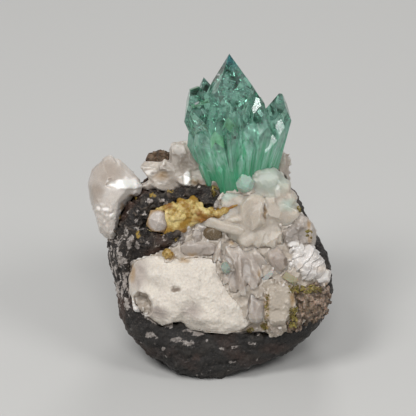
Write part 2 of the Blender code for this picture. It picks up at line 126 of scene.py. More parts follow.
# Each crystal of the spray: where it roots, where its four faces meet, its half width across the prism
# faces, how far its front pyramid face turns to the right in degrees, and how much of its point is missing.
SPRAY = {
    "main": ((9.0, 2.0, -3.0), (5.65, 40.9, 8.6), 7.2, 9.0, 0.0),
    "left": ((6.8, 3.0, -2.8), (-4.4, 34.2, 4.4), 4.6, 2.0, 2.2),
    "left_front": ((6.8, 3.0, -0.4), (-3.5, 31.9, 9.0), 4.2, -4.0, 4.4),
    "left_tip": ((4.6, 3.6, -4.6), (-1.2, 35.3, 0.0), 2.6, 12.0, 0.0),
    "right": ((14.4, 3.4, -2.6), (19.6, 31.4, 4.0), 3.4, -6.0, 0.8),
    "right_inner": ((10.6, 3.4, -0.4), (13.45, 30.5, 7.2), 2.3, -15.0, 1.0),
    "front": ((8.0, 3.0, 0.0), (5.3, 23.9, 13.8), 1.6, 0.0, 0.3),
    "front_left": ((6.0, 3.0, -0.4), (-2.8, 21.4, 8.8), 3.0, 12.0, 1.6),
    "front_inner": ((7.0, 3.0, 0.0), (1.7, 20.4, 12.0), 2.0, 24.0, 0.4),
    "front_right": ((11.4, 3.8, -0.4), (15.1, 24.8, 9.0), 2.3, -8.0, 1.2),
    "low_right": ((14.2, 4.0, -1.0), (19.4, 24.6, 5.0), 2.2, 20.0, 0.3),
    "low_left": ((6.0, 4.2, -1.2), (-5.2, 20.8, 4.0), 2.9, 30.0, 0.6),
    "low_left_short": ((5.6, 4.4, -0.6), (-2.6, 13.6, 4.4), 2.5, 10.0, 0.6),
    "back_middle": ((9.0, 4.0, -4.6), (8.0, 29.0, -5.0), 4.6, 36.0, 0.8),
    "back_left": ((6.0, 4.0, -4.8), (-0.6, 26.0, -5.0), 3.6, -20.0, 0.6),
    "back_right": ((12.0, 4.4, -4.4), (15.8, 25.6, -3.6), 3.6, 14.0, 0.8),
}
# Cloudy prisms that fill the fan's lower half between the crystals above, in the same measures.
FILLERS = (
    ((8.4, 2.4, -2.0), (3.4, 24.6, 7.6), 4.2, 0.0, 3.2),
    ((9.4, 2.4, -2.0), (9.2, 27.0, 8.6), 4.0, 30.0, 3.2),
    ((10.6, 2.6, -2.0), (13.8, 25.4, 7.2), 3.6, 10.0, 3.0),
    ((6.8, 3.2, -2.0), (-1.4, 21.4, 6.0), 3.8, 20.0, 3.0),
    ((12.4, 3.4, -2.4), (17.4, 22.6, 5.0), 3.2, 0.0, 2.6),
    ((7.4, 3.0, 0.4), (3.0, 19.0, 8.8), 2.6, 40.0, 2.0),
    ((9.6, 3.2, 0.4), (10.4, 20.0, 9.2), 2.6, 16.0, 2.0),
)
# Points at the lower front of the cloudy body that the crystals grow out of.
SPRAY_FOOT = ((1.6, 8.0, 2.6), (4.0, 4.6, 3.4), (8.6, 4.2, 3.6), (12.4, 6.6, 3.8))
GREEN_CAPPED = ("left", "left_front", "front", "front_inner")

# Blades that grow out of each white piece: base, end, half width, half thickness, turn about the length in
# degrees, and how pointed the end is, from 0 to 1.
BLADES = {
    "stilbite_fan": (
        ((14.2, 0.0, -0.4), (15.8, 10.6, 3.2), 4.2, 3.4, 0, 0.0),
        ((15.4, -0.6, -0.2), (20.4, 7.8, 3.0), 3.2, 3.2, 0, 0.1),
        ((16.0, -1.6, 0.0), (23.2, 3.6, 2.6), 2.4, 3.0, 0, 0.3),
        ((12.4, 1.6, 1.0), (12.4, 8.4, 3.4), 1.8, 2.4, 0, 0.2),
        ((11.6, -8.0, 1.4), (12.4, 4.0, 4.6), 4.0, 3.4, 10, 0.4),
        ((13.9, -6.8, 2.6), (14.4, 2.8, 5.2), 1.4, 2.4, 12, 0.4),
        ((16.4, -6.0, 1.2), (17.2, 3.6, 3.6), 2.2, 3.0, -16, 0.4),
        ((14.8, -2.4, 1.4), (24.6, -1.0, 3.0), 3.6, 2.8, 10, 0.8),
        ((16.6, 0.6, 1.8), (23.4, 1.8, 2.4), 1.8, 2.6, 0, 0.5),
        ((11.6, 0.6, 1.2), (3.0, 1.0, 2.4), 3.4, 3.2, 0, 0.1),
        ((11.0, -2.6, 1.6), (3.0, -2.6, 2.6), 2.8, 3.0, 8, 0.2),
        ((-1.6, -3.2, 4.2), (9.6, -6.6, 4.8), 1.5, 2.0, 0, 0.2),
        ((8.0, -3.0, 2.0), (12.0, -10.4, 3.2), 3.2, 3.2, -8, 0.3),
        ((11.8, -4.0, 2.2), (14.6, -10.6, 3.4), 2.4, 2.8, 4, 0.4),
        ((15.6, -3.2, 2.0), (15.8, -10.8, 4.0), 1.9, 2.4, -10, 0.7),
        ((16.6, -3.4, 1.8), (17.6, -11.4, 3.8), 1.7, 2.4, 8, 0.7),
        ((17.6, -3.4, 1.4), (19.8, -9.8, 3.6), 1.6, 2.4, 16, 0.6),
    ),
    "stilbite_wedge": (
        ((19.8, -3.0, 1.0), (21.8, -10.6, 3.8), 1.3, 1.8, -16, 0.5),
        ((20.6, -2.6, 1.0), (24.0, -10.8, 3.6), 1.5, 1.8, 4, 0.4),
        ((21.6, -2.6, 0.8), (26.2, -9.6, 2.8), 1.4, 1.8, 12, 0.5),
        ((22.6, -2.2, -0.6), (27.2, -6.8, 1.4), 1.2, 1.8, 20, 0.4),
        ((23.4, -3.6, -1.0), (24.8, -2.2, 1.8), 1.2, 1.6, 0, 0.3),
        ((24.6, -7.6, -0.6), (28.2, -9.0, 1.0), 1.1, 1.6, 0, 0.6),
    ),
    "stilbite_sheaf": (
        ((6.0, -9.4, -0.4), (2.2, -14.6, 3.8), 1.5, 1.8, -10, 0.4),
        ((6.8, -9.6, 0.4), (4.4, -20.0, 3.8), 1.6, 2.2, -14, 0.4),
        ((7.2, -9.8, 1.0), (6.8, -22.6, 4.2), 1.7, 2.4, 0, 0.3),
        ((7.8, -9.8, 1.6), (9.6, -23.4, 4.6), 1.5, 2.4, 8, 0.4),
        ((8.4, -9.8, 1.4), (12.4, -22.0, 4.4), 1.6, 2.4, -6, 0.3),
        ((8.8, -9.6, 1.2), (14.6, -19.0, 4.0), 1.5, 2.2, 12, 0.4),
        ((9.2, -9.2, 0.8), (15.2, -15.0, 3.2), 1.6, 2.0, 0, 0.4),
        ((9.6, -8.8, 0.2), (14.8, -11.4, 2.6), 1.4, 1.8, 0, 0.5),
        ((1.6, -8.8, 3.0), (3.4, -14.4, 5.2), 0.85, 1.2, 14, 0.7),
        ((4.8, -10.2, 3.4), (9.6, -20.4, 5.4), 0.8, 1.3, -22, 0.6),
        ((8.0, -10.0, 3.4), (12.6, -17.8, 5.0), 0.7, 1.2, 24, 0.6),
    ),
    "stilbite_block": (
        ((16.6, -19.4, 1.0), (16.0, -30.2, 3.6), 2.2, 3.2, -20, 0.3),
        ((19.2, -18.8, 1.2), (18.8, -31.4, 4.0), 2.8, 3.4, 4, 0.2),
        ((21.6, -19.8, 1.2), (21.4, -29.4, 3.4), 1.9, 3.0, 24, 0.3),
        ((14.4, -21.0, 3.4), (17.8, -19.4, 5.0), 1.3, 1.5, 0, 0.3),
        ((18.2, -28.0, 0.8), (17.9, -34.4, 2.6), 2.5, 2.4, -6, 0.7),
        ((20.0, -29.6, 0.8), (20.8, -33.0, 2.2), 1.4, 2.0, 10, 0.6),
    ),
    "stilbite_round": (
        ((12.8, -21.4, 1.2), (13.0, -30.2, 3.4), 2.4, 2.8, -10, 0.3),
    ),
    "stilbite_knot": (
        ((-5.4, -8.8, 1.4), (-5.8, -2.8, 4.8), 1.3, 1.5, -14, 0.6),
        ((-6.4, -7.4, 1.0), (-7.0, -4.0, 4.0), 1.0, 1.2, 0, 0.6),
        ((-3.2, -9.8, 1.2), (-3.0, -5.2, 4.6), 1.3, 1.5, 16, 0.5),
        ((-1.8, -6.6, 1.4), (0.8, -3.8, 4.4), 1.3, 1.7, 0, 0.3),
        ((-2.6, -6.2, 1.4), (-2.4, -2.6, 4.2), 1.3, 1.5, 8, 0.3),
    ),
    "stilbite_band": (
        ((-7.6, -11.8, 1.2), (2.4, -10.8, 4.4), 1.9, 2.0, 0, 0.3),
        ((-6.6, -10.4, 1.0), (-1.0, -9.8, 3.8), 1.3, 1.6, 10, 0.4),
    ),
    "stilbite_back_ridge": (
        ((-9.0, 5.8, -1.6), (-18.2, 11.2, 0.2), 2.2, 2.4, 0, 0.9),
        ((-7.0, 6.0, -1.2), (-12.6, 12.4, 0.8), 1.9, 2.2, -8, 0.3),
        ((-6.0, 5.0, -1.6), (-9.4, 16.4, 0.2), 1.9, 2.4, 12, 0.5),
        ((-8.4, 12.6, -1.4), (-9.3, 17.6, -0.4), 1.0, 1.2, 0, 0.3),
        ((-7.0, 12.6, -1.4), (-6.9, 17.9, -0.2), 1.1, 1.2, 10, 0.3),
        ((-4.6, 5.0, -1.4), (-7.0, 16.8, 0.2), 1.7, 2.4, -6, 0.5),
        ((-3.0, 5.0, -1.6), (-4.0, 16.6, 0.6), 1.9, 2.4, 6, 0.3),
        ((-0.6, 4.0, -1.4), (-0.6, 13.6, 1.4), 2.0, 2.2, -4, 0.3),
        ((-3.0, 6.6, 0.0), (-8.4, 7.8, 2.4), 1.4, 1.8, 0, 0.3),
        ((-9.0, 5.4, -0.6), (-14.6, 6.6, 1.4), 1.5, 1.8, 0, 0.3),
        ((1.6, 2.6, -0.6), (2.4, 8.4, 2.0), 1.5, 2.0, 0, 0.3),
    ),
    "stilbite_left_lobe": (
        ((-24.6, 8.4, -3.0), (-27.4, 13.8, -0.8), 1.7, 1.8, 0, 0.1),
        ((-25.4, 8.0, -2.6), (-26.4, 13.4, -0.8), 1.8, 2.2, 0, 0.3),
        ((-23.4, 4.6, -2.2), (-24.2, 11.0, -0.8), 2.2, 2.4, 0, 0.4),
        ((-22.6, 6.0, -2.0), (-18.4, 4.8, 0.2), 2.0, 1.8, 0, 0.3),
    ),
    "stilbite_back_right": (
        ((14.0, 5.6, -8.0), (16.6, 17.0, -8.4), 2.6, 3.0, 20, 0.5),
        ((17.0, 5.6, -8.0), (21.0, 15.2, -8.2), 2.2, 2.6, -10, 0.6),
        ((12.4, 6.0, -9.0), (12.0, 15.0, -10.0), 2.4, 3.0, 10, 0.4),
    ),
    "stilbite_pebble": (((19.9, -17.0, 2.6), (17.2, -11.2, 5.4), 2.2, 2.2, 10, 0.1),),
}
CORE_SHRINK = 0.2  # millimetres: how far a piece's core draws back behind its blades
SMOOTH_CORES = ("stilbite_mound", "stilbite_grey_dome", "stilbite_pebble")

# Flat faces on the white pieces: centre and reach across and up, the slope of the face across and up, how
# deep it is cut and how pearly it is. The slope MIRROR shows the left softbox to the camera.
MIRROR = (0.26, 0.31)
CLEAVED_FACES = {
    "stilbite_left_lobe": (
        ((-21.8, 6.4), (4.0, 1.3), MIRROR, 0.3, 1.0),
        ((-29.4, 0.0), (0.7, 0.6), MIRROR, 0.2, 0.5),
        ((-27.4, -0.2), (0.9, 0.5), (0.2, 0.34), 0.2, 0.5),
        ((-25.8, -1.8), (0.6, 0.7), MIRROR, 0.2, 0.4),
        ((-28.8, 5.4), (2.0, 3.0), (0.5, -0.02), 0.4, 0.0),
    ),
    "stilbite_back_ridge": (
        ((-5.7, 8.2), (0.9, 1.7), MIRROR, 0.5, 1.0), ((-9.4, 12.4), (1.6, 2.2), (0.3, 0.10), 0.4, 0.1),
        ((-12.4, 8.4), (2.0, 1.3), (0.2, 0.14), 0.3, 0.1), ((-4.2, 12.6), (1.2, 2.0), (-0.2, 0.1), 0.3, 0.1),
        ((-15.6, 9.6), (1.4, 0.8), MIRROR, 0.3, 0.4), ((-8.0, 15.8), (1.4, 1.2), (0.1, 0.3), 0.3, 0.3),
        ((-2.4, 8.6), (1.5, 1.6), (-0.1, 0.3), 0.4, 0.2),
    ),
    "stilbite_knot": (
        ((-5.8, -4.4), (1.0, 1.0), MIRROR, 0.3, 0.5), ((-1.0, -4.4), (1.6, 0.9), (0.0, 0.28), 0.3, 0.3),
        ((-3.2, -7.0), (1.0, 1.0), (-0.2, 0.1), 0.3, 0.2),
    ),
    "stilbite_fan": (
        ((11.4, -1.6), (2.6, 4.0), (0.24, -0.06), 0.3, 0.0),
        ((18.6, -1.4), (3.0, 2.6), (-0.14, 0.06), 0.3, 0.0),
        ((16.0, 7.6), (2.6, 1.6), (0.1, 0.3), 0.2, 0.2), ((18.6, 4.6), (0.5, 1.8), MIRROR, 0.2, 0.3),
        ((15.4, -8.4), (0.5, 1.4), (0.2, 0.2), 0.2, 0.1), ((17.6, -7.6), (0.8, 1.2), (0.05, 0.3), 0.2, 0.15),
    ),
    "stilbite_wedge": (
        ((22.4, -7.2), (1.4, 2.4), (-0.2, 0.1), 0.3, 0.1), ((25.6, -7.4), (1.1, 1.6), (-0.4, 0.1), 0.3, 0.1),
        ((23.2, -9.8), (1.5, 0.9), MIRROR, 0.3, 0.5),
    ),
    "stilbite_block": (
        ((18.4, -23.6), (2.2, 3.0), (-0.06, -0.04), 0.3, 0.0),
        ((18.2, -29.2), (1.9, 1.9), (0.1, 0.2), 0.3, 0.0),
    ),
    "stilbite_sheaf": (
        ((5.6, -15.6), (1.0, 2.2), (0.24, 0.22), 0.2, 0.3),
        ((10.4, -17.4), (1.0, 2.2), (-0.1, 0.26), 0.2, 0.2),
    ),
    "heulandite_pearly": (((26.0, -14.8), (4.6, 4.6), (0.0, 0.04), 0.5, 0.0),),
    "heulandite_plate": (((30.6, -18.0), (1.8, 1.8), (0.05, 0.32), 0.2, 0.8),),
}

# Stains, tints and painted shade on the white pieces: across, up, half width, half height. Iron stains come
# first.
RUSTY = (
    (-6.3, -14.0, 1.9, 0.9), (-9.6, -13.2, 1.6, 0.8), (-4.2, -12.6, 1.6, 0.9), (-20.4, -17.6, 1.2, 3.0),
    (15.7, -26.5, 0.9, 4.8), (15.2, -31.8, 1.5, 1.2), (11.3, -33.0, 1.2, 0.8), (22.6, -24.0, 1.0, 3.4),
    (27.4, -8.4, 0.8, 1.4), (27.0, -4.6, 0.6, 2.0), (6.2, -9.4, 1.0, 0.6), (15.2, -1.2, 0.7, 2.6),
    (-23.2, 0.2, 0.6, 1.6), (-20.6, 3.4, 1.2, 0.5), (-12.6, 8.6, 2.6, 1.6),
    (13.6, -17.4, 0.5, 1.4), (-19.4, -31.0, 2.0, 1.0), (-9.0, -6.0, 1.2, 1.4),
    (24.6, -15.8, 1.0, 1.6), (30.4, -16.2, 2.6, 1.6), (32.2, -20.6, 1.6, 0.9), (-3.0, 7.0, 2.0, 1.2),
)
# Dark dust and clay in hollows, and painted shade in the deep hollows and gaps, such as the mound's hollow
# and its pit.
DUST_AND_SHADE = (
    (-17.4, -26.0, 2.9, 4.0), (-17.0, -26.4, 2.2, 3.2), (-8.6, -21.8, 1.5, 0.7), (-7.0, -6.6, 1.2, 0.6),
    (15.6, -18.6, 1.6, 0.7), (13.6, -21.0, 0.6, 1.8), (20.8, -14.4, 0.6, 1.6),
    (22.6, -17.6, 1.6, 0.8), (-0.6, -12.6, 1.0, 0.5), (11.2, -24.6, 0.5, 1.8), (16.0, -10.6, 1.4, 0.4),
)
# Where a piece is clear enough to look grey, and painted shade where it lies in shade, as in the trough low
# on the mound.
GREYED_AND_SHADED = (
    (-29.8, 4.6, 2.4, 3.8), (-12.0, 9.0, 3.4, 2.4), (-7.6, 13.6, 2.6, 2.4),
    (-18.4, -17.6, 3.2, 5.4), (-27.0, 9.6, 5.0, 4.6), (-13.4, -28.0, 3.6, 2.6), (-4.6, -27.6, 3.6, 2.8),
    (-3.0, -7.6, 1.8, 2.2), (6.2, -7.6, 2.6, 2.0), (9.0, -17.4, 5.6, 6.4), (23.0, -7.4, 4.4, 4.4),
    (12.8, -26.8, 3.2, 5.0), (18.6, -14.2, 3.4, 3.6), (17.8, -32.4, 3.2, 2.2), (17.0, 7.6, 3.4, 2.6),
    (-2.0, -11.4, 6.6, 2.4), (-5.6, 12.6, 6.0, 4.0), (2.0, 5.4, 2.6, 3.4),
)
# Green tint where the stilbite meets the spray.
MINTY = ((16.6, 7.6, 6.6, 5.2), (21.6, 1.0, 3.0, 2.2), (4.6, 3.4, 4.0, 1.6))

# Where gas bubbles in the rock are filled with white minerals: across, up, half width, half height.
FILLED = (
    (-15.7, 1.9, 1.1, 1.0), (-12.2, 2.1, 1.0, 0.8), (-11.2, 1.4, 0.8, 0.6), (-21.6, -1.3, 0.5, 0.5),
    (-18.9, -1.0, 0.6, 0.5), (-17.0, -1.6, 0.7, 0.6), (-19.2, -3.4, 0.6, 0.7), (-21.9, -6.4, 0.6, 2.0),
    (-24.0, -9.2, 1.0, 1.1), (-21.1, -10.0, 0.9, 1.0), (-18.9, -9.9, 0.8, 1.0), (-16.2, -9.4, 0.8, 0.7),
    (-23.6, -14.0, 0.7, 3.0), (-22.6, -20.0, 0.8, 3.4), (-24.4, -21.6, 0.6, 2.6), (-22.0, -26.0, 0.8, 2.2),
    (-18.4, -5.6, 1.6, 0.5), (-20.4, -8.0, 0.6, 1.4), (-8.2, -35.4, 1.7, 1.2), (-5.2, -36.4, 2.2, 1.0),
    (-15.6, -34.2, 1.8, 1.2), (3.4, -37.8, 1.4, 0.5), (7.0, -37.4, 1.8, 0.5), (6.4, -41.7, 1.2, 0.4),
    (-12.0, -38.0, 0.8, 0.5), (-2.6, -33.8, 2.4, 0.7), (-6.6, 3.2, 0.5, 0.4), (-2.4, 5.6, 0.5, 0.5),
    (-11.6, -8.6, 0.7, 0.5), (-9.4, -9.6, 0.5, 0.6), (-13.4, -10.2, 0.6, 0.4), (12.0, -36.6, 1.6, 0.4),
)
# Yellow iron crusts on the rock.
IRON_EDGED = (
    (-20.0, 3.1, 0.9, 0.8), (-23.2, -0.4, 0.7, 0.7), (-24.2, -2.4, 0.6, 0.9), (-18.7, -7.0, 0.7, 1.6),
    (-10.0, 4.6, 1.2, 0.5), (-15.0, 3.4, 1.4, 0.5), (-0.4, 6.6, 1.0, 0.6), (1.6, 4.4, 0.8, 1.2),
    (24.2, -0.2, 0.9, 1.2), (26.8, -6.2, 1.0, 1.4), (3.0, -1.6, 1.4, 0.7), (-11.6, 0.6, 0.8, 0.6),
    (-8.6, -8.4, 1.0, 0.6), (15.0, -33.4, 1.8, 0.8),
)
# Reddish clay on the rock.
RED_CLAY = ((-3.2, -40.4, 1.6, 1.4), (18.0, -38.0, 5.0, 1.8), (24.0, 5.0, 2.0, 4.0), (8.0, -40.0, 4.0, 1.4))

# The larger veils sealed in the spray: centre, half sizes and turn in degrees.
VEILS = (
    ((10.1, 19.6, 4.6), (0.7, 3.6, 0.16), (0, 14, -4)), ((15.2, 19.0, 3.4), (0.8, 2.2, 0.16), (0, -18, -14)),
    ((-3.6, 29.0, 2.6), (1.3, 1.0, 0.2), (20, 0, 10)), ((-1.3, 33.2, 0.0), (0.8, 0.5, 0.2), (10, 0, 30)),
    ((11.8, 28.6, 3.6), (0.35, 0.3, 0.2), (0, 0, 0)), ((4.8, 33.0, 4.6), (0.5, 2.2, 0.16), (0, 20, -12)),
    ((6.8, 30.4, 4.2), (1.6, 0.5, 0.16), (16, 0, 34)), ((3.2, 28.4, 4.4), (1.2, 0.4, 0.16), (-20, 0, -24)),
    ((9.6, 26.4, 3.8), (0.5, 1.6, 0.16), (10, 30, 10)), ((1.6, 14.0, 4.0), (0.6, 2.4, 0.16), (0, -20, 22)),
    ((6.2, 12.0, 4.2), (0.5, 2.6, 0.16), (0, 16, 4)), ((12.8, 12.6, 2.6), (0.5, 2.4, 0.16), (0, 10, -16)),
)

# How many small veils are sealed in each crystal of the spray.
VEIL_COUNTS = {
    "main": 90, "left": 14, "right": 20, "left_front": 12, "front_right": 6, "right_inner": 5, "low_right": 3,
    "low_left": 4, "left_tip": 4,
}

# The honey crust's small globes are strewn along this line across and up the face.
CRUST_PATH = (
    (-15.6, -3.0), (-13.0, -0.4), (-9.6, 0.6), (-6.4, 0.4), (-3.6, 1.4), (-1.0, -0.8), (2.4, -1.6),
    (5.6, -0.2),
)
# Thin tongues at the crust's right end: base, end and half width.
CRUST_TONGUES = (
    ((4.2, -0.8, 4.6), (8.0, 0.9, 5.2), 0.42), ((3.6, -1.6, 4.4), (7.0, -0.9, 4.8), 0.4),
    ((1.6, -2.6, 4.4), (4.6, -3.0, 4.6), 0.5),
)
# Where the crust is orange-brown: across, up, half width, half height.
CRUST_RUSTY = (
    (-0.4, -3.2, 4.6, 1.7), (-10.3, 0.6, 1.7, 1.3), (-6.0, -6.4, 3.4, 1.6), (6.2, 0.2, 2.0, 1.0),
    (-2.4, -1.4, 1.6, 1.2),
)
DROP_CENTRE = Vector((-10.8, -12.3, 5.1))
SET_CRYSTAL_OUTLINE = (
    (-15.4, -0.6), (-12.6, -0.4), (-10.6, -1.6), (-10.2, -4.0), (-11.8, -6.6), (-15.0, -6.2), (-16.6, -4.4),
)
SET_CRYSTAL_CENTRE = Vector((-13.3, -3.5))
SET_CRYSTAL_BASE = 1.4  # millimetres out of the face
SET_CRYSTAL_HEIGHT = 5.6
SET_CRYSTAL_PEAK = 6.6  # where its four sloping faces meet

RIBBED_BLADES = (((22.0, -12.2, 1.6), (25.0, -10.8, 4.6), 1.1, 1.2, 10, 0.3),
                 ((21.8, -16.0, 1.6), (23.2, -14.8, 4.2), 0.9, 1.0, -10, 0.3))
# Painted shade on parts of the ribbed crystal: across, up, half width, half height.
RIBBED_SHADED = (
    (27.6, -16.4, 2.0, 2.0), (24.2, -17.4, 1.6, 1.4), (29.0, -13.2, 1.3, 1.8), (25.6, -12.4, 1.4, 0.9),
)

KNOB_CENTRE = Vector((-13.2, 12.0, -5.4))
DRUSE_ACROSS = (20.4, 33.0)
DRUSE_UP = (-33.5, -18.0)
# Olive and rusty grains between the white pieces: across, up, half width, half height, count.
GRAIN_PATCHES = (
    (15.7, -27.0, 0.5, 4.4, 9), (15.2, -31.8, 1.0, 0.8, 12), (11.4, -32.9, 0.9, 0.5, 8),
    (24.4, -0.4, 0.5, 0.9, 6), (27.0, -6.8, 0.8, 1.2, 8), (22.8, -29.4, 1.0, 2.6, 26),
    (1.8, 4.6, 0.8, 1.4, 10), (26.0, -21.8, 4.4, 1.0, 60), (22.8, -29.2, 1.0, 2.8, 30),
)
# How many grains, globes or small crystals are strewn on a piece, and its mesh size in millimetres.
COUNTS = {"lining": 300, "knob": 160, "crust": 150, "drop": 26, "druse": 330}
MESH_SIZES = {
    "lining": 0.23, "knob": 0.2, "crust": 0.17, "druse": 0.15, "drop": 0.14, "set_crystal": 0.13,
    "grains": 0.09,
}

CAMERA_DISTANCE = 0.5
CAMERA_ELEVATION = math.radians(30.0)
SENSOR_WIDTH = 36.0
VIEW_WIDTH = 112.3 * MM  # what the frame spans at the face frame's origin
# The studio's softboxes: name, heading from the open face, distance in metres, power in watts.
SOFTBOXES = (
    ("front_softbox", (0.03, -0.667, 0.7435), 0.85, 1.8), ("left_softbox", (-0.45, -0.35, 0.82), 0.80, 2.75),
    ("right_softbox", (0.62, -0.30, 0.72), 0.85, 1.6), ("rear_softbox", (0.10, 0.75, 0.66), 0.80, 1.4),
)
COLOUR_MIX = {"data_type": "RGBA", "output": 2}  # a Mix node for colours, and where its result comes out
FIRST, SECOND = 6, 7  # the colours that such a node mixes

# Typical values of the minerals.
APOPHYLLITE_IOR = 1.535
STILBITE_IOR = 1.50
BASALT_IOR = 1.55


def linear(code):
    """An sRGB hex colour as linear red, green and blue."""
    parts = [int(code[i:i + 2], 16) / 255 for i in (1, 3, 5)]
    return tuple(part / 12.92 if part <= 0.04045 else ((part + 0.055) / 1.055) ** 2.4 for part in parts)


def colour_setting(name, description, code):
    return FloatVectorProperty(name=name, description=description, subtype="COLOR", size=3, min=0.0, max=1.0,
                               default=linear(code))


class SpraySettings(bpy.types.PropertyGroup):
    clear_colour: colour_setting("Clear crystal", "Tint of the clear upper half", "#b4dfd1")
    milky_colour: colour_setting("Milky fibres", "Colour of the cloudy fibres in the lower half", "#c0e6da")
    deep_colour: colour_setting("Deep green", "Colour between the fibres and at the root", "#57b98a")
    cap_colour: colour_setting("Green caps", "Colour of the grass-green growth zones at the tips", "#7cc48a")
    tip_colour: colour_setting("Blue tip", "Colour at the main crystal's point", "#5fb4cc")
    absorbed_colour: colour_setting("Depth colour", "Colour that clear crystal takes with depth", "#7ad0b6")
    absorption: FloatProperty(name="Absorption", description="How fast it darkens with depth, per metre",
                              default=50.0, min=0.0)
    edge_bevel: FloatProperty(name="Edge wear", description="Width of the worn crystal edges", unit="LENGTH",
                              default=0.00009, min=0.0)
    fibre_count: IntProperty(name="Slender crystals", description="Slender prisms on the fan's lower half",
                             default=7, min=0)


class WhiteSettings(bpy.types.PropertyGroup):
    # Painted highlight colour, laid on thin raised edges and pearly faces.
    highlight_colour: colour_setting("Pearl", "Pearly faces and thin edges", "#fbf7f2")
    # This colour serves for dust and clay in hollows and for painted shade in creases and hollows.
    dust_and_shade_colour: colour_setting("Crevice", "Dust and clay in the creases", "#78685a")
    rust_colour: colour_setting("Rust", "Iron stain", "#a47e44")
    voxel: FloatProperty(name="Fineness", description="Mesh size of the white minerals", unit="LENGTH",
                         default=0.00022, min=0.0001)


class RockSettings(bpy.types.PropertyGroup):
    rock_colour: colour_setting("Basalt", "Broken dark basalt", "#1e1713")
    # The skin colour is the weathered skin, kept dark also as painted shade on the rock's lower part.
    skin_and_shade_colour: colour_setting("Skin", "Weathered grey-green outside of the rock", "#22201d")
    clay_colour: colour_setting("Clay", "Reddish brown clay on the rock", "#5a3e31")
    fill_colour: colour_setting("Fillings", "White mineral in the gas bubbles", "#ded7d1")
    iron_colour: colour_setting("Iron", "Yellow iron crust on the rock's edges", "#b0903a")
    voxel: FloatProperty(name="Fineness", description="Mesh size of the rock", unit="LENGTH", default=0.0004,
                         min=0.0002)
    pit_depth: FloatProperty(name="Pit depth", description="Depth of the open gas bubbles", unit="LENGTH",
                             default=0.0007, min=0.0)


class CrustSettings(bpy.types.PropertyGroup):
    honey_colour: colour_setting("Honey", "Yellow body of the crust", "#9b7626")
    orange_colour: colour_setting("Orange", "Orange-brown lower edge", "#8d5a22")
    olive_colour: colour_setting("Olive", "Olive grains", "#9a8c48")
    druse_colour: colour_setting("Druse", "Brown-pink druse", "#a8917f")


class StudioSettings(bpy.types.PropertyGroup):
    floor_colour: colour_setting("Floor", "Plain pale floor", "#c6c5c2")
    floor_size: FloatProperty(name="Floor size", description="Side of the floor", unit="LENGTH", default=6.0)
    softbox_side: FloatProperty(name="Softbox side", description="Side of each softbox", unit="LENGTH",
                                default=0.26)
    surround: FloatProperty(name="Surround", description="Brightness of the dim room", default=0.27, min=0.0)


def fill_inputs(node, inputs):
    """Links or sets a node's inputs. A plain colour has three parts."""
    for key, value in inputs.items():
        socket = node.inputs[key]
        if isinstance(value, bpy.types.NodeSocket):
            node.id_data.links.new(value, socket)
        else:
            socket.default_value = (*value, 1.0) if socket.type == "RGBA" else value


def add_node(tree, kind, *values, inputs=None, output=0, **settings):
    """Adds a shader node with its settings and its inputs, in their order or by name. Gives one output."""
    node = tree.nodes.new(f"ShaderNode{kind}")
    for name, value in settings.items():
        setattr(node, name, value)
    fill_inputs(node, dict(enumerate(values)) | (inputs or {}))
    return node.outputs[output]


def new_material(name):
    """An empty material, the function that adds nodes to it, and its one principled shader."""
    material = bpy.data.materials.new(name)
    material.use_nodes = True
    tree = material.node_tree
    return material, partial(add_node, tree), tree.nodes["Principled BSDF"]


def layered(add, colour, *layers):
    """A colour with others laid over it in turn, each by its share."""
    for share, layer in layers:
        colour = add("Mix", share, inputs={FIRST: colour, SECOND: layer}, **COLOUR_MIX)
    return colour


def per_mm(size):
    """The scale at which a pattern's features measure size millimetres, where places are in metres."""
    return 1.0 / (size * MM)


def cloudy(size, detail=3.0, roughness=0.55):
    """How a noise is set for features of size millimetres."""
    return {"Scale": per_mm(size), "Detail": detail, "Roughness": roughness}


def relief(height, distance, strength):
    """How fine relief on a surface is set; distance is in millimetres."""
    return {"Height": height, "Distance": distance * MM, "Strength": strength}


def evaluated(obj):
    """The object's mesh with its modifiers applied. The object is removed."""
    depsgraph = bpy.context.evaluated_depsgraph_get()
    mesh = bpy.data.meshes.new_from_object(obj.evaluated_get(depsgraph))
    bpy.data.objects.remove(obj, do_unlink=True)
    return mesh


def mesh_of(bm, name):
    """The mesh of a bmesh, which is freed."""
    mesh = bpy.data.meshes.new(name)
    bm.to_mesh(mesh)
    bm.free()
    return mesh


def held(bm, name, collection=None):
    """A working object that holds a mesh in face millimetres while modifiers shape it."""
    obj = bpy.data.objects.new(name, mesh_of(bm, name))
    (collection or bpy.context.scene.collection).objects.link(obj)
    return obj


def face_copy(node):
    """A CAD node's shape in face millimetres, its loose triangles merged."""
    bm = bmesh.new()
    bm.from_mesh(frame["nodes"][node].data)
    bmesh.ops.transform(bm, matrix=TO_FACE, verts=bm.verts)
    bmesh.ops.remove_doubles(bm, verts=bm.verts, dist=0.002)
    bmesh.ops.recalc_face_normals(bm, faces=bm.faces)
    return bm


def draw_back(bm, depth):
    """Draws the surface in along its normals."""
    bm.normal_update()
    moves = [(vert, vert.normal * depth) for vert in bm.verts]
    for vert, move in moves:
        vert.co -= move


def fused(bm, voxel, rounding):
    """One closed skin round everything in a mesh, its creases softened."""
    obj = held(bm, "fused")
    skin = obj.modifiers.new("skin", "REMESH")
    skin.mode = "VOXEL"
    skin.voxel_size = voxel
    skin.use_smooth_shade = True
    if rounding:
        soften = obj.modifiers.new("soften", "SMOOTH")
        soften.iterations = rounding
        soften.factor = 0.5
    return evaluated(obj)


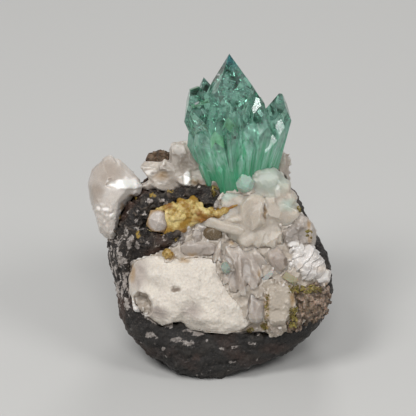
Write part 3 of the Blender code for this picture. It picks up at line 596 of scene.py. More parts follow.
def smoothed_places(mesh, rounds):
    """Where the points of a mesh would lie if it were smoothed."""
    obj = bpy.data.objects.new("smoothed", mesh)
    bpy.context.scene.collection.objects.link(obj)
    soften = obj.modifiers.new("soften", "SMOOTH")
    soften.iterations = rounds
    soften.factor = 0.5
    smooth = evaluated(obj)
    places = [vert.co.copy() for vert in smooth.vertices]
    bpy.data.meshes.remove(smooth)
    return places


def sculpt(mesh, height):
    """Moves each point along its normal by height(place) millimetres."""
    moves = [vert.normal * height(vert.co) for vert in mesh.vertices]
    for vert, move in zip(mesh.vertices, moves):
        vert.co += move
    mesh.update()


def fill_creases(mesh, rounds):
    """Lifts creases to where they would lie if the skin were smoothed, and leaves its edges as they are."""
    places = smoothed_places(mesh, rounds)
    moves = [vert.normal * max(0.0, (place - vert.co).dot(vert.normal))
             for vert, place in zip(mesh.vertices, places)]
    for vert, move in zip(mesh.vertices, moves):
        vert.co += move
    mesh.update()


def store(mesh, name, values, domain="POINT"):
    """Keeps one number for each point or face of a mesh."""
    layer = mesh.attributes.new(name, "FLOAT", domain)
    layer.data.foreach_set("value", values)


def store_relief(mesh, rounds=14):
    """Keeps how far each point stands out of the smoothed surface, in millimetres."""
    places = smoothed_places(mesh, rounds)
    store(mesh, "relief", [(vert.co - place).dot(vert.normal) for vert, place in zip(mesh.vertices, places)])


def in_spots(place, spots, wobble=0.35, size=1.2):
    """How deep a place lies in any of the spots, from 0 at their rims to 1 in the middle."""
    shift = Vector((place.x / size, place.y / size, 3.1))
    x = place.x + wobble * noise.noise(shift)
    y = place.y + wobble * noise.noise(shift + Vector((17.0, 5.0, 0.0)))
    most = 0.0
    for across, up, half_width, half_height in spots:
        dx = (x - across) / half_width
        if -1.0 < dx < 1.0:
            dy = (y - up) / half_height
            if -1.0 < dy < 1.0:
                most = max(most, 1.0 - dx * dx - dy * dy)
    return most


def store_spots(mesh, name, strength, spots, behind=None, most=1.0, **edge):
    """Keeps how deep each point lies in the spots. What lies further back may get one value instead."""
    values = []
    for vert in mesh.vertices:
        if behind is None or vert.co.z > WHITE_BACK:
            values.append(min(most, strength * in_spots(vert.co, spots, **edge)))
        else:
            values.append(behind)
    store(mesh, name, values)


def inside_outline(x, y, outline):
    """True if a point of the face is inside a closed outline."""
    inside = False
    for (x0, y0), (x1, y1) in zip(outline, outline[1:] + outline[:1]):
        if (y0 > y) != (y1 > y) and x < x0 + (y - y0) * (x1 - x0) / (y1 - y0):
            inside = not inside
    return inside


def smooth_step(value, low, high):
    """From 0 at low to 1 at high, easing in and out."""
    t = max(0.0, min(1.0, (value - low) / (high - low)))
    return t * t * (3.0 - 2.0 * t)


def landing(tree, x, y):
    """Where a point that is dropped on the front lands, or None."""
    return tree.ray_cast(Vector((x, y, DROP_HEIGHT)), Vector((0, 0, -1)))[0]


def random_heading(chance):
    return Vector([chance.gauss(0, 1) for _ in range(3)]).normalized()


def turned(*angles):
    """A turn by three angles, one round each axis."""
    return Euler(angles).to_matrix().to_4x4()


def delete_loose(bm):
    """Deletes the points that no face uses."""
    bmesh.ops.delete(bm, geom=[vert for vert in bm.verts if not vert.link_faces], context="VERTS")


def raise_sheet(bm, rise):
    """Makes a sheet a closed solid that reaches rise millimetres out of the face from where it lies."""
    made = bmesh.ops.extrude_face_region(bm, geom=bm.faces[:])["geom"]
    moved = [item for item in made if isinstance(item, bmesh.types.BMVert)]
    bmesh.ops.translate(bm, vec=(0, 0, rise), verts=moved)
    bmesh.ops.recalc_face_normals(bm, faces=bm.faces)


def cut_faces(mesh, faces):
    """Planes the front flat round each centre, as cleavage does, and keeps how pearly each point is."""
    pearl = [0.0] * len(mesh.vertices)
    for (across, up), reach, (lean_across, lean_up), depth, shine in faces:
        near = []
        for i, vert in enumerate(mesh.vertices):
            dx, dy = vert.co.x - across, vert.co.y - up
            distance = math.hypot(dx / reach[0], dy / reach[1])
            if vert.normal.z > 0.0 and distance < 2.0:
                distance *= 1.0 + 0.4 * noise.noise(Vector((vert.co.x / 1.7, vert.co.y / 1.1, reach[0])))
                near.append((i, vert, distance, lean_across * dx - lean_up * dy))
        inner = sorted(vert.co.z - slope for _, vert, distance, slope in near if distance < 1.0)
        if not inner:
            continue
        level = inner[int(0.9 * (len(inner) - 1))] - depth
        for i, vert, distance, slope in near:
            share = 1.0 - smooth_step(distance, 0.85, 1.6)
            pearl[i] = max(pearl[i], shine * smooth_step(share, 0.4, 1.0))
            vert.co.z += share * min(level + slope - vert.co.z, 0.5 * shine)
    mesh.update()
    store(mesh, "pearl", pearl)


def add_blade(bm, base, end, half_width, half_thickness, turn, point, seed, streaks=0.13, detail=4):
    """A flattened crystal from its base to its end, finely streaked along its length."""
    verts = bmesh.ops.create_icosphere(bm, subdivisions=detail, radius=1.0)["verts"]
    base, end = Vector(base), Vector(end)
    half_length = (end - base).length / 2
    squareness = 4.5
    limit = 1.2 - 0.5 * point
    shift = Vector((seed * 3.7, seed * 1.9, seed * 5.3))
    for vert in verts:
        x, y, z = vert.co / sum(abs(part) ** squareness for part in vert.co) ** (1 / squareness)
        beyond = 0.7 * (abs(x) + max(z, 0.0)) - limit
        if z > 0 and beyond > 0:
            x -= math.copysign(min(abs(x), 0.7 * beyond), x)
            z -= 0.7 * beyond
        place = Vector((x * half_width, y * half_thickness, z * half_length))
        grain = noise.noise(Vector((place.x / 0.8, place.y / 0.8, place.z / 7.0)) + shift)
        swell = 1.0 + 0.06 * noise.noise(place / 3.0 + shift)
        side = Vector((place.x, place.y, 0.0))
        if side.length > 1e-4:
            place += side.normalized() * streaks * grain
        vert.co = place * swell
    axis = (end - base).normalized()
    facing = (Vector((0, 0, 1)) - axis * axis.z).normalized()
    stand = Matrix((facing.cross(axis), facing, axis)).transposed()
    stand = stand @ Matrix.Rotation(math.radians(turn), 3, "Z")
    bmesh.ops.rotate(bm, matrix=stand, verts=verts)
    bmesh.ops.translate(bm, vec=(base + end) / 2, verts=verts)


def slice_off(bm, point, normal):
    """Cuts away what lies beyond a plane and closes the cut with a flat face. Returns that face."""
    everything = bm.verts[:] + bm.edges[:] + bm.faces[:]
    cut = bmesh.ops.bisect_plane(bm, geom=everything, plane_co=point, plane_no=normal, clear_outer=True)
    rim = [item for item in cut["geom_cut"] if isinstance(item, bmesh.types.BMEdge)]
    return bmesh.ops.holes_fill(bm, edges=rim)["faces"] if rim else []


def wear_edges(bm, width):
    bmesh.ops.bevel(bm, geom=bm.edges[:], offset=width, offset_type="OFFSET", affect="EDGES", segments=1,
                    profile=0.5, material=-1, clamp_overlap=True)


def pointed_crystal(root, tip, half_width, spin, blunt, root_share=ROOT_SHARE, bevel=0.08, cap=1):
    """A square prism that narrows to its root, ended by four steep faces over the prism's edges."""
    root, tip = Vector(root), Vector(tip)
    length = (tip - root).length
    axis = (tip - root).normalized()
    bm = bmesh.new()
    bmesh.ops.create_cube(bm, size=2.0)
    for vert in bm.verts:
        width = half_width * (root_share if vert.co.z < 0 else 1.0)
        vert.co = (vert.co.x * width, vert.co.y * width, length if vert.co.z > 0 else 0.0)
    for quarter in range(4):
        heading = math.radians(45 + 90 * quarter)
        normal = Vector((math.cos(heading), math.sin(heading), math.tan(PYRAMID_TO_AXIS))).normalized()
        for face in slice_off(bm, (0, 0, length), normal):
            face.material_index = 0 if blunt > 1.0 else cap
    if blunt:
        for face in slice_off(bm, (0, 0, length - blunt), (0, 0, 1)):
            face.material_index = cap
    if bevel:
        wear_edges(bm, bevel)
    facing = (Vector((0, 0, 1)) - axis * axis.z).normalized()
    stand = Matrix((facing, axis.cross(facing), axis)).transposed()
    bmesh.ops.rotate(bm, matrix=stand @ Matrix.Rotation(math.radians(spin - 45), 3, "Z"), verts=bm.verts)
    bmesh.ops.translate(bm, vec=root, verts=bm.verts)
    bmesh.ops.recalc_face_normals(bm, faces=bm.faces)
    return bm


def cut_gem(half_sizes, cuts, seed, bevel=0.0):
    """A small crystal bounded by flat faces that its seed picks."""
    chance = random.Random(seed)
    bm = bmesh.new()
    bmesh.ops.create_cube(bm, size=2.0)
    for _ in range(cuts):
        normal = random_heading(chance)
        slice_off(bm, normal * chance.uniform(0.86, 1.0), normal)
    bmesh.ops.scale(bm, vec=half_sizes, verts=bm.verts)
    if bevel:
        wear_edges(bm, bevel)
    return bm


def pour(target, source, matrix):
    """Adds a small mesh, turned and placed, to a larger one."""
    mesh = mesh_of(source, "poured")
    mesh.transform(matrix)
    target.from_mesh(mesh)
    bpy.data.meshes.remove(mesh)


def add_grain(bm, place, sizes, chance, seed=None, shape=(1.0, 1.0, 1.0), cuts=5):
    """A small crystal of a random size and turn at a place."""
    size = chance.uniform(*sizes)
    gem = cut_gem([size * part for part in shape], cuts, chance.randrange(999) if seed is None else seed)
    pour(bm, gem, Matrix.Translation(place) @ turned(*[chance.uniform(0, 2 * math.pi) for _ in range(3)]))


def finish_piece(name, mesh, material, slot, *nodes):
    """Brings a finished mesh to metres and lets it stand for its CAD nodes."""
    mesh.transform(FACE)
    mesh.materials.clear()
    mesh.materials.append(material)
    mesh.validate()
    obj = bpy.data.objects.new(name, mesh)
    bpy.context.scene.collection.objects.link(obj)
    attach(obj, BODY)
    if nodes:
        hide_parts(*nodes)


def apophyllite_material(settings):
    """Apophyllite, grown: clear and glassy above, cloudy with satin fibrous cracks below, tinted by depth."""
    material, add, shader = new_material("apophyllite_clear_to_milky")
    place = add("TexCoord", output="Object")
    reach = add("VectorMath", place, tuple(FACE @ FAN_CENTRE), operation="SUBTRACT")
    length = add("VectorMath", reach, operation="LENGTH", output="Value")
    heading = add("VectorMath", reach, operation="NORMALIZE")
    # A fibre keeps its heading from the fan's centre. At 40 mm from there, 0.04 of heading is 1.6 mm.
    fanned = add("VectorMath", heading, inputs={"Scale": 40 * MM}, operation="SCALE")
    drift = add("VectorMath", reach, inputs={"Scale": 0.10}, operation="SCALE")
    fibre_place = add("VectorMath", fanned, drift, operation="ADD")
    broad = add("TexNoise", fibre_place, inputs=cloudy(2.6, detail=2.0))
    fine = add("TexNoise", fibre_place, inputs=cloudy(1.0))
    patches = add("TexNoise", place, inputs=cloudy(4.0))

    rise = add("MapRange", length, 31 * MM, 47 * MM)
    wander = add("Math", broad, 0.9, -0.45, operation="MULTIPLY_ADD")
    wander = add("Math", patches, 0.5, wander, operation="MULTIPLY_ADD")
    wander = add("Math", wander, 0.25, operation="SUBTRACT")
    clearness = add("MapRange", add("Math", rise, wander, operation="ADD"), 0.15, 0.85)
    cap = add("Attribute", attribute_name="cap", output="Fac")

    streaks = layered(add, settings.deep_colour, (add("MapRange", fine, 0.34, 0.70), settings.milky_colour))
    root_depth = add("MapRange", length, 24 * MM, 36 * MM)
    capped = add("Math", cap, add("MapRange", patches, 0.35, 0.6, 0.3, 0.85), operation="MULTIPLY")
    main_tip = tuple(FACE @ Vector(SPRAY["main"][1]))
    to_tip = add("VectorMath", place, main_tip, operation="DISTANCE", output="Value")
    blue = add("MapRange", to_tip, 1.5 * MM, 5.5 * MM, 0.9, 0.0)
    colour = layered(add, settings.deep_colour, (root_depth, streaks))
    colour = layered(add, colour, (clearness, settings.clear_colour), (capped, settings.cap_colour),
                     (blue, settings.tip_colour))

    patchy = add("MapRange", patches, 0.44, 0.56, 0.80, 0.98)
    passing = add("Math", add("MapRange", clearness, 0.0, 1.0, 0.40, 1.0), patchy, operation="MULTIPLY")
    passing = add("Math", passing, add("Math", cap, 0.25, operation="MULTIPLY"), operation="SUBTRACT")
    fibrous = add("MapRange", clearness, 0.0, 0.8, 1.0, 0.0)
    ribs = add("Math", add("Math", fine, broad, operation="ADD"), fibrous, operation="MULTIPLY")
    fill_inputs(shader, {
        "Base Color": colour,
        "Transmission Weight": passing,
        "Roughness": add("MapRange", clearness, 0.0, 1.0, 0.24, 0.02),
        "IOR": APOPHYLLITE_IOR,
        "Subsurface Weight": 0.35,
        "Subsurface Radius": (0.5, 1.0, 0.8),
        "Subsurface Scale": 2.0 * MM,
        "Normal": add("Bump", inputs=relief(ribs, 0.10, 0.4)),
    })
    depth = add("VolumeAbsorption", settings.absorbed_colour, settings.absorption)
    fill_inputs(material.node_tree.nodes["Material Output"], {"Volume": depth})
    return material


def pale_apophyllite_material(name, body, clear, passing):
    """Small cloudy apophyllite: a pale glassy crystal that lets some light through."""
    material, add, shader = new_material(name)
    cloud = add("TexNoise", add("TexCoord", output="Object"), inputs=cloudy(1.4, detail=4.0))
    fill_inputs(shader, {
        "Base Color": layered(add, linear(body), (add("MapRange", cloud, 0.35, 0.65), linear(clear))),
        "Transmission Weight": add("MapRange", cloud, 0.3, 0.7, passing - 0.2, passing + 0.15),
        "IOR": APOPHYLLITE_IOR,
        "Roughness": 0.12,
        "Subsurface Weight": 0.4,
        "Subsurface Scale": 1.5 * MM,
        "Normal": add("Bump", inputs=relief(cloud, 0.06, 0.4)),
    })
    return material


def veil_material():
    """Thin cleavage cracks in clear crystal, which reflect like a mirror: silvery flashes and dark gaps."""
    material, add, shader = new_material("cleavage_veil")
    cloud = add("TexNoise", add("TexCoord", output="Object"), inputs=cloudy(0.6))
    fill_inputs(shader, {
        "Base Color": layered(add, linear("#e9f7f2"), (cloud, linear("#ffffff"))),
        "Metallic": 0.8,
        "Roughness": 0.12,
    })
    return material


def white_material(name, settings, body, grey, grain=0.35, gloss=0.32, soft=0.35, grain_bump=0.05,
                   crease=0.30, passing=0.0):
    """Stilbite or heulandite, grown: soft translucent white, pearly on cleavage, with dust and painted shade
    in its creases and painted highlights on its edges and pearly faces.
    """
    material, add, shader = new_material(name)
    kept = {key: add("Attribute", attribute_name=key, output="Fac")
            for key in ("relief", "pearl", "greyed", "minty", "rusty", "dusty")}
    place = add("TexCoord", output="Object")
    broad = add("TexNoise", place, inputs=cloudy(5.0))
    fine = add("TexNoise", place, inputs=cloudy(grain, detail=4.0, roughness=0.6))
    # Greyness: broad random patches, clear grey parts and painted shade from the kept spots.
    greyness_and_shade = add("Math", broad, 0.9, -0.3, operation="MULTIPLY_ADD")
    greyness_and_shade = add("MapRange", add("Math", greyness_and_shade, kept["greyed"], operation="ADD"), 0.0, 1.0)
    colour = layered(add, linear(body), (greyness_and_shade, linear(grey)))
    mottle = add("MapRange", fine, 0.3, 0.7, 0.86, 1.06)
    mottle = add("CombineColor", mottle, mottle, mottle)
    colour = add("Mix", 1.0, inputs={FIRST: colour, SECOND: mottle}, blend_type="MULTIPLY", **COLOUR_MIX)
    stained = add("MapRange", fine, 0.3, 0.6, 0.5, 1.0)
    stained = add("Math", kept["rusty"], stained, operation="MULTIPLY")
    # Painted shade: where the surface lies below its smoothed form, its creases are darkened towards the dust
    # and shade colour.
    painted_crease_shade = add("MapRange", kept["relief"], -0.12 * crease, -0.8 * crease, 0.0, 0.75)
    # Painted highlight: raised edges, which stand out of the smoothed surface, are lightened towards the
    # highlight colour.
    painted_edge_highlight = add("MapRange", kept["relief"], 0.02, 0.16, 0.0, 0.65)
    # Painted sheen: pearly faces are lightened towards the highlight colour; they are also made smoother
    # below.
    pearly = add("Math", kept["pearl"], 0.85, operation="MULTIPLY")
    # Laid over in turn: mint tint, rust, dust with painted shade in hollows, painted shade in creases, and
    # painted highlights on edges and pearly faces.
    colour = layered(add, colour, (kept["minty"], linear("#bbc8bd")), (stained, settings.rust_colour),
                     (kept["dusty"], settings.dust_and_shade_colour), (painted_crease_shade, settings.dust_and_shade_colour),
                     (painted_edge_highlight, settings.highlight_colour), (pearly, settings.highlight_colour))
    polish = add("Math", kept["pearl"], gloss - 0.16, operation="MULTIPLY")
    rough = add("Math", gloss, polish, operation="SUBTRACT")
    fill_inputs(shader, {
        "Base Color": colour,
        "Roughness": add("Math", fine, 0.12, rough, operation="MULTIPLY_ADD"),
        "IOR": STILBITE_IOR,
        "Transmission Weight": passing,
        "Subsurface Weight": soft,
        "Subsurface Radius": (1.0, 0.85, 0.7),
        "Subsurface Scale": 3.0 * soft * MM,
        "Normal": add("Bump", inputs=relief(fine, grain_bump, 0.6)),
    })
    return material


def rock_material(settings):
    """Vesicular basalt, broken and weather-worn: dull, near black, with pale fillings, clay and iron crusts;
    painted shade darkens its pits and lower part, and painted highlights lighten its bumps.
    """
    material, add, shader = new_material("basalt_weathered")
    kept = {key: add("Attribute", attribute_name=key, output="Fac")
            for key in ("weathered", "banding", "clay", "iron", "filling", "relief")}
    place = add("TexCoord", output="Object")
    broad = add("TexNoise", place, inputs=cloudy(7.0, detail=4.0))
    grains = add("TexNoise", place, inputs=cloudy(0.55, detail=4.0, roughness=0.65))
    painted_glint_specks = add("TexNoise", place, inputs=cloudy(0.42, detail=2.0))
    specks = add("TexVoronoi", place, inputs={"Scale": per_mm(0.8)}, output="Distance")
    weathered = add("Math", kept["weathered"], add("MapRange", broad, 0.3, 0.62), operation="MULTIPLY")
    clay = add("Math", kept["clay"], add("MapRange", grains, 0.35, 0.6, 0.4, 1.0), operation="MULTIPLY")
    iron = add("MapRange", add("Math", grains, 0.6, kept["iron"], operation="MULTIPLY_ADD"), 0.5, 0.8)
    filled = add("Math", grains, 1.3, kept["filling"], operation="MULTIPLY_ADD")
    filled = add("MapRange", filled, 0.92, 1.12)
    filling = layered(add, settings.fill_colour, (add("MapRange", specks, 0.0, 0.6), linear("#a49a93")))
    # Painted shade: the rock's lower front and back, where its skin is, are darkened, less so on the
    # fillings.
    painted_underside_shade = add("MapRange", filled, 0.0, 1.0, 0.6, 0.25)
    painted_underside_shade = add("Math", kept["weathered"], painted_underside_shade, operation="MULTIPLY")
    colour = layered(
        add, settings.rock_colour,
        (weathered, settings.skin_and_shade_colour),
        (add("MapRange", grains, 0.55, 0.75, 0.0, 0.55), linear("#4d3d31")),
        (add("MapRange", grains, 0.42, 0.30, 0.0, 0.7), linear("#141110")),
        (add("MapRange", kept["banding"], 0.1, 0.5, 0.0, 0.45), linear("#5b5349")),
        (clay, settings.clay_colour),
        (iron, settings.iron_colour),
        (filled, filling),
        # Painted glints: a few pale specks on the dark rock.
        (add("MapRange", painted_glint_specks, 0.61, 0.68, 0.0, 0.35), linear("#a99a8c")),
        # Painted shade in pits and cracks, where the surface lies below its smoothed form.
        (add("MapRange", kept["relief"], -0.04, -0.30, 0.0, 0.85), linear("#0f0c0b")),
        # Painted highlight on raised bumps.
        (add("MapRange", kept["relief"], 0.10, 0.40, 0.0, 0.45), linear("#7f6e5e")),
        (painted_underside_shade, linear("#14110f")),
    )
    fill_inputs(shader, {
        "Base Color": colour,
        "Roughness": add("MapRange", filled, 0.0, 1.0, 0.52, 0.36),
        "IOR": BASALT_IOR,
        "Normal": add("Bump", inputs=relief(grains, 0.45, 1.0)),
    })
    return material


def crust_material(settings):
    """Iron-stained calcite crust: waxy, honey-yellow globes that turn orange-brown at the lower edge, with
    painted shade between them.
    """
    material, add, shader = new_material("honey_crust")
    place = add("TexCoord", output="Object")
    broad = add("TexNoise", place, inputs=cloudy(2.6))
    fine = add("TexNoise", place, inputs=cloudy(0.5))
    rusty, height = [add("Attribute", attribute_name=key, output="Fac") for key in ("rusty", "relief")]
    colour = layered(
        add, settings.honey_colour,
        (add("MapRange", broad, 0.42, 0.58), linear("#d8c384")),
        (rusty, settings.orange_colour),
        (add("MapRange", fine, 0.55, 0.35, 0.0, 0.4), linear("#8a6a22")),
        # Painted shade in the creases between the globes.
        (add("MapRange", height, -0.01, -0.14, 0.0, 0.85), linear("#5b3f14")),
    )
    fill_inputs(shader, {
        "Base Color": colour,
        "Roughness": 0.42,
        "Subsurface Weight": 0.3,
        "Subsurface Radius": (1.0, 0.6, 0.25),
        "Subsurface Scale": 0.8 * MM,
        "Normal": add("Bump", inputs=relief(fine, 0.08, 0.6)),
    })
    return material


def grain_material(name, first, second, dark, size, roughness=0.45):
    """Small sugary crystals of mixed colour, with dirt between them."""
    material, add, shader = new_material(name)
    place = add("TexCoord", output="Object")
    cells = add("TexVoronoi", place, inputs={"Scale": per_mm(size)}, output="Color")
    pick = add("SeparateColor", cells)
    broad = add("TexNoise", place, inputs=cloudy(3.0))
    dirt = add("TexNoise", place, inputs=cloudy(1.2, detail=4.0))
    mixed = add("MapRange", add("Math", pick, broad, operation="ADD"), 0.7, 1.3)
    dirty = add("MapRange", dirt, 0.6, 0.4, 0.0, 0.75)
    fill_inputs(shader, {
        "Base Color": layered(add, first, (mixed, second), (dirty, dark)),
        "Roughness": add("MapRange", pick, 0.0, 1.0, roughness - 0.2, roughness + 0.2),
        "Subsurface Weight": 0.15,
        "Subsurface Scale": 0.5 * MM,
        "Normal": add("Bump", inputs=relief(add("TexNoise", place, inputs=cloudy(0.3)), 0.05, 0.5)),
    })
    return material


def rock_height(pit_depth):
    """The rock's relief: lumps, fracture and open bubbles, strongest on the broken ridge at the left."""
    def height(place):
        ridge = smooth_step(place.y, -13.0, -8.0) * smooth_step(-place.x, -6.0, -2.0)
        ridge *= smooth_step(place.z, -9, -5)
        rugged = 0.6 + 0.4 * ridge
        crack = abs(noise.noise(Vector((place.x / 2.2, place.y / 1.1, place.z / 1.3))))
        total = 0.45 * noise.noise(place / 5.5)
        total += (1.0 - ridge) * 0.24 * noise.noise(Vector((place.x / 8.0, place.z / 0.9, place.y / 5.0)))
        total += (0.6 + 0.5 * ridge) * noise.noise(place / 2.3 + Vector((3.0, 1.0, 7.0)))
        total += ridge * 0.8 * (0.45 - crack * 2.2)
        total += rugged * 0.55 * noise.noise(place / 1.05) + rugged * 0.22 * noise.noise(place / 0.55)
        for cell, reach, share in ((2.3, 0.75, 1.0), (1.25, 0.42, 0.7)):
            near = noise.voronoi(place / cell)[0][0] * cell
            if near < reach:
                total -= rugged * share * pit_depth * (1.0 - (near / reach) ** 2)
        return total
    return height


def build_rock(settings):
    """The basalt round the cavity: rough and pitted, with filled bubbles, on its flat underside."""
    mesh = fused(face_copy("basalt_matrix"), settings.voxel / MM, 2)
    sculpt(mesh, rock_height(settings.pit_depth / MM))
    store_relief(mesh, 10)
    kept = {name: [] for name in ("filling", "iron", "clay", "weathered", "banding")}
    for vert in mesh.vertices:
        place = vert.co
        is_front = place.z > ROCK_BACK
        pocket = noise.voronoi(place / 2.6)
        picked = (math.sin(pocket[1][0].x * 91.7 + pocket[1][0].y * 37.3 + pocket[1][0].z * 11.9) + 1) / 2
        share = max(0.0, 1.0 - pocket[0][0] * 2.6 / 0.75) if picked < 0.42 else 0.0
        streak = noise.noise(Vector((place.x / 0.6, place.y / 3.0, place.z / 0.9)))
        left_flank = smooth_step(-place.x, 19.5, 22.5) * smooth_step(-place.y, 6.0, 9.0)
        left_flank *= smooth_step(place.y, -31.0, -24.0)
        left_flank *= 1.0 if is_front else 0.4
        told = in_spots(place, FILLED, wobble=0.8, size=0.7) if is_front else 0.0
        lined = 0.0
        if is_front and inside_outline(place.x, place.y, LINED) and not in_spots(place, (TOOTH,)):
            lined = 0.9
        streaked = left_flank * smooth_step(streak, 0.05, 0.4)
        wide = noise.noise(place / 9.0 + Vector((4.0, 8.0, 2.0)))
        told_clay = in_spots(place, RED_CLAY) if is_front else 0.0
        kept["filling"].append(max(0.8 * told, 0.8 * share, lined, streaked))
        kept["iron"].append(0.7 * in_spots(place, IRON_EDGED, wobble=0.9, size=0.8) if is_front else 0.0)
        kept["clay"].append(max(told_clay, smooth_step(wide, 0.15, 0.5) * 0.7))
        kept["weathered"].append(smooth_step(-place.y, 26.0, 34.0) if is_front else 1.0)
        kept["banding"].append(noise.noise(Vector((place.x / 9.0, place.z / 1.1, place.y / 6.0))))
    for name, values in kept.items():
        store(mesh, name, values)
    finish_piece("basalt_rock", mesh, rock_material(settings), "basalt_matrix", "basalt_matrix")
    for vert in mesh.vertices:
        if vert.co.z < FLAT_BELOW:
            vert.co.z = 0.0


def cloudy_core():
    """The cloudy body that the fan's crystals grow out of: a hull round their lower halves."""
    bm = bmesh.new()
    for root, tip, half_width, _, _ in SPRAY.values():
        for along, share in ((0.0, 0.5), (0.28, 0.80), (0.50, 0.96), (0.62, 0.70)):
            centre = Vector(root).lerp(Vector(tip), along)
            for x, z in ((-1, 0), (1, 0), (0, 1), (0, -1)):
                bm.verts.new(centre + Vector((x, 0.0, z)) * half_width * share)
    for place in SPRAY_FOOT:
        bm.verts.new(place)
    bmesh.ops.convex_hull(bm, input=bm.verts)
    delete_loose(bm)
    bmesh.ops.recalc_face_normals(bm, faces=bm.faces)
    return bm


def slender_crystals(settings, skin):
    """Slender prisms half sunk in the front of the fan's lower half."""
    chance = random.Random(7)
    made = []
    while len(made) < settings.fibre_count:
        across = chance.uniform(-4.6, 19.0)
        up = chance.uniform(9.0, 22.0)
        hit = landing(skin, across, up)
        if hit is None:
            continue
        half_width = chance.uniform(0.45, 1.15)
        root = FAN_CENTRE.lerp(hit, 0.74) + Vector((0, 0, -1.5))
        tip = hit + (hit - root).normalized() * chance.uniform(0.5, 2.5) + Vector((0, 0, 0.25 * half_width))
        made.append((root, tip, half_width, chance.uniform(-40, 40), chance.uniform(0.0, 0.8 * half_width)))
    return made


def build_spray(settings):
    """The fan of pointed crystals, joined in one closed skin, with veils sealed in it."""
    bevel = settings.edge_bevel / MM
    shape = face_copy("apophyllite_spray")
    skin = BVHTree.FromBMesh(shape)
    shape.free()
    group = bpy.data.collections.new("spray_parts")
    bpy.context.scene.collection.children.link(group)
    base = None
    for name, row in SPRAY.items():
        shape = pointed_crystal(*row, bevel=bevel, cap=int(name in GREEN_CAPPED))
        crystal = held(shape, f"crystal_{name}", group if base else None)
        for _ in range(2):
            crystal.data.materials.append(None)
        base = base or crystal
    held(cloudy_core(), "cloudy_core", group)
    for number, row in enumerate(FILLERS):
        held(pointed_crystal(*row, root_share=0.8, bevel=bevel, cap=0), f"filler_{number}", group)
    for number, row in enumerate(slender_crystals(settings, skin)):
        held(pointed_crystal(*row, root_share=0.9, bevel=0.5 * bevel, cap=0), f"fibre_{number}", group)
    join = base.modifiers.new("join", "BOOLEAN")
    join.operation = "UNION"
    join.solver = "EXACT"
    join.operand_type = "COLLECTION"
    join.collection = group
    foot = held(face_copy("basalt_matrix"), "foot")
    cut = base.modifiers.new("cut", "BOOLEAN")
    cut.operation = "DIFFERENCE"
    cut.solver = "EXACT"
    cut.object = foot
    mesh = evaluated(base)
    for obj in list(group.objects) + [foot]:
        bpy.data.objects.remove(obj, do_unlink=True)
    bpy.data.collections.remove(group)
    store(mesh, "cap", [float(polygon.material_index == 1) for polygon in mesh.polygons], "FACE")
    for polygon in mesh.polygons:
        polygon.material_index = 0
    mesh.shade_flat()
    finish_piece("apophyllite_fan", mesh, apophyllite_material(settings), "apophyllite_spray",
                 "apophyllite_spray")
    build_veils()


def build_veils():
    """The cleavage cracks that flash in the clear crystal."""
    chance = random.Random(19)
    bm = bmesh.new()
    for number, (centre, half_sizes, turn) in enumerate(VEILS):
        flake = bmesh.new()
        bmesh.ops.create_icosphere(flake, subdivisions=3, radius=1.0)
        for vert in flake.verts:
            vert.co.x *= 1.0 + 0.35 * noise.noise(vert.co * 1.7 + Vector((number, 0, 0)))
            vert.co.y *= 1.0 + 0.35 * noise.noise(vert.co * 1.9 + Vector((0, number, 0)))
            vert.co.z += 1.2 * noise.noise(Vector((vert.co.x, vert.co.y, number)) * 1.3)
        stand = Matrix.Translation(centre) @ turned(*map(math.radians, turn))
        pour(bm, flake, stand @ Matrix.Diagonal((*half_sizes, 1.0)))
    for name, count in VEIL_COUNTS.items():
        root, tip, half_width = Vector(SPRAY[name][0]), Vector(SPRAY[name][1]), SPRAY[name][2]
        for _ in range(count):
            along = chance.triangular(0.42, 0.90, 0.74)
            room = 0.55 * half_width * min(1.0, (1 - along) * 4)
            centre = root.lerp(tip, along) + Vector([chance.uniform(-room, room) for _ in range(3)])
            half_sizes = (chance.uniform(0.3, 1.4), chance.uniform(0.15, 0.6), 0.04)
            flake = cut_gem(half_sizes, 6, chance.randrange(1000))
            tilt = turned(chance.gauss(-0.2, 0.5), chance.gauss(-0.2, 0.5), chance.uniform(0, 3.14))
            pour(bm, flake, Matrix.Translation(centre) @ tilt)
    finish_piece("apophyllite_veils", mesh_of(bm, "veils"), veil_material(), "apophyllite_spray")


def build_small_apophyllite():
    """The pale bud at the fan's foot and the chip low in the cavity."""
    rows = (
        ("apophyllite_bud", (10.0, 6.6, 5.4), (2.5, 2.7, 2.5), (10, 0, 12), 26, 11,
         ("apophyllite_pale", "#b9dcc9", "#e2f3ea", 0.45)),
        ("apophyllite_chip", (4.7, -15.9, 6.9), (1.15, 1.5, 1.2), (0, 0, 20), 14, 12,
         ("apophyllite_blue_green", "#acc2b5", "#d6e0d8", 0.5)),
    )
    for node, centre, half_sizes, turn, cuts, seed, look in rows:
        gem = cut_gem(half_sizes, cuts, seed, bevel=0.06)
        stand = Matrix.Translation(centre) @ turned(*map(math.radians, turn))
        bmesh.ops.transform(gem, matrix=stand, verts=gem.verts)
        finish_piece(f"{node}_gem", mesh_of(gem, node), pale_apophyllite_material(*look), node, node)


def scatter_blades(bm, skin, count, seed, half_widths, lengths, centre, top=math.inf):
    """Small blades that stand on a piece, below a height out of the face."""
    chance = random.Random(seed)
    centre = Vector(centre)
    placed = 0
    tries = 0
    while placed < count and tries < 40 * count:
        tries += 1
        heading = random_heading(chance)
        hit, normal, _, _ = skin.ray_cast(centre + heading * 60.0, -heading)
        if hit is None or hit.z >= top:
            continue
        lean = (normal + 0.9 * Vector([chance.gauss(0, 0.5) for _ in range(3)])).normalized()
        length = chance.uniform(*lengths)
        half_width = chance.uniform(*half_widths)
        add_blade(bm, hit - lean * length * 0.6, hit + lean * length * 0.4, half_width, 0.55 * half_width,
                  chance.uniform(0, 180), chance.uniform(0.2, 0.9), placed, streaks=0.03, detail=2)
        placed += 1


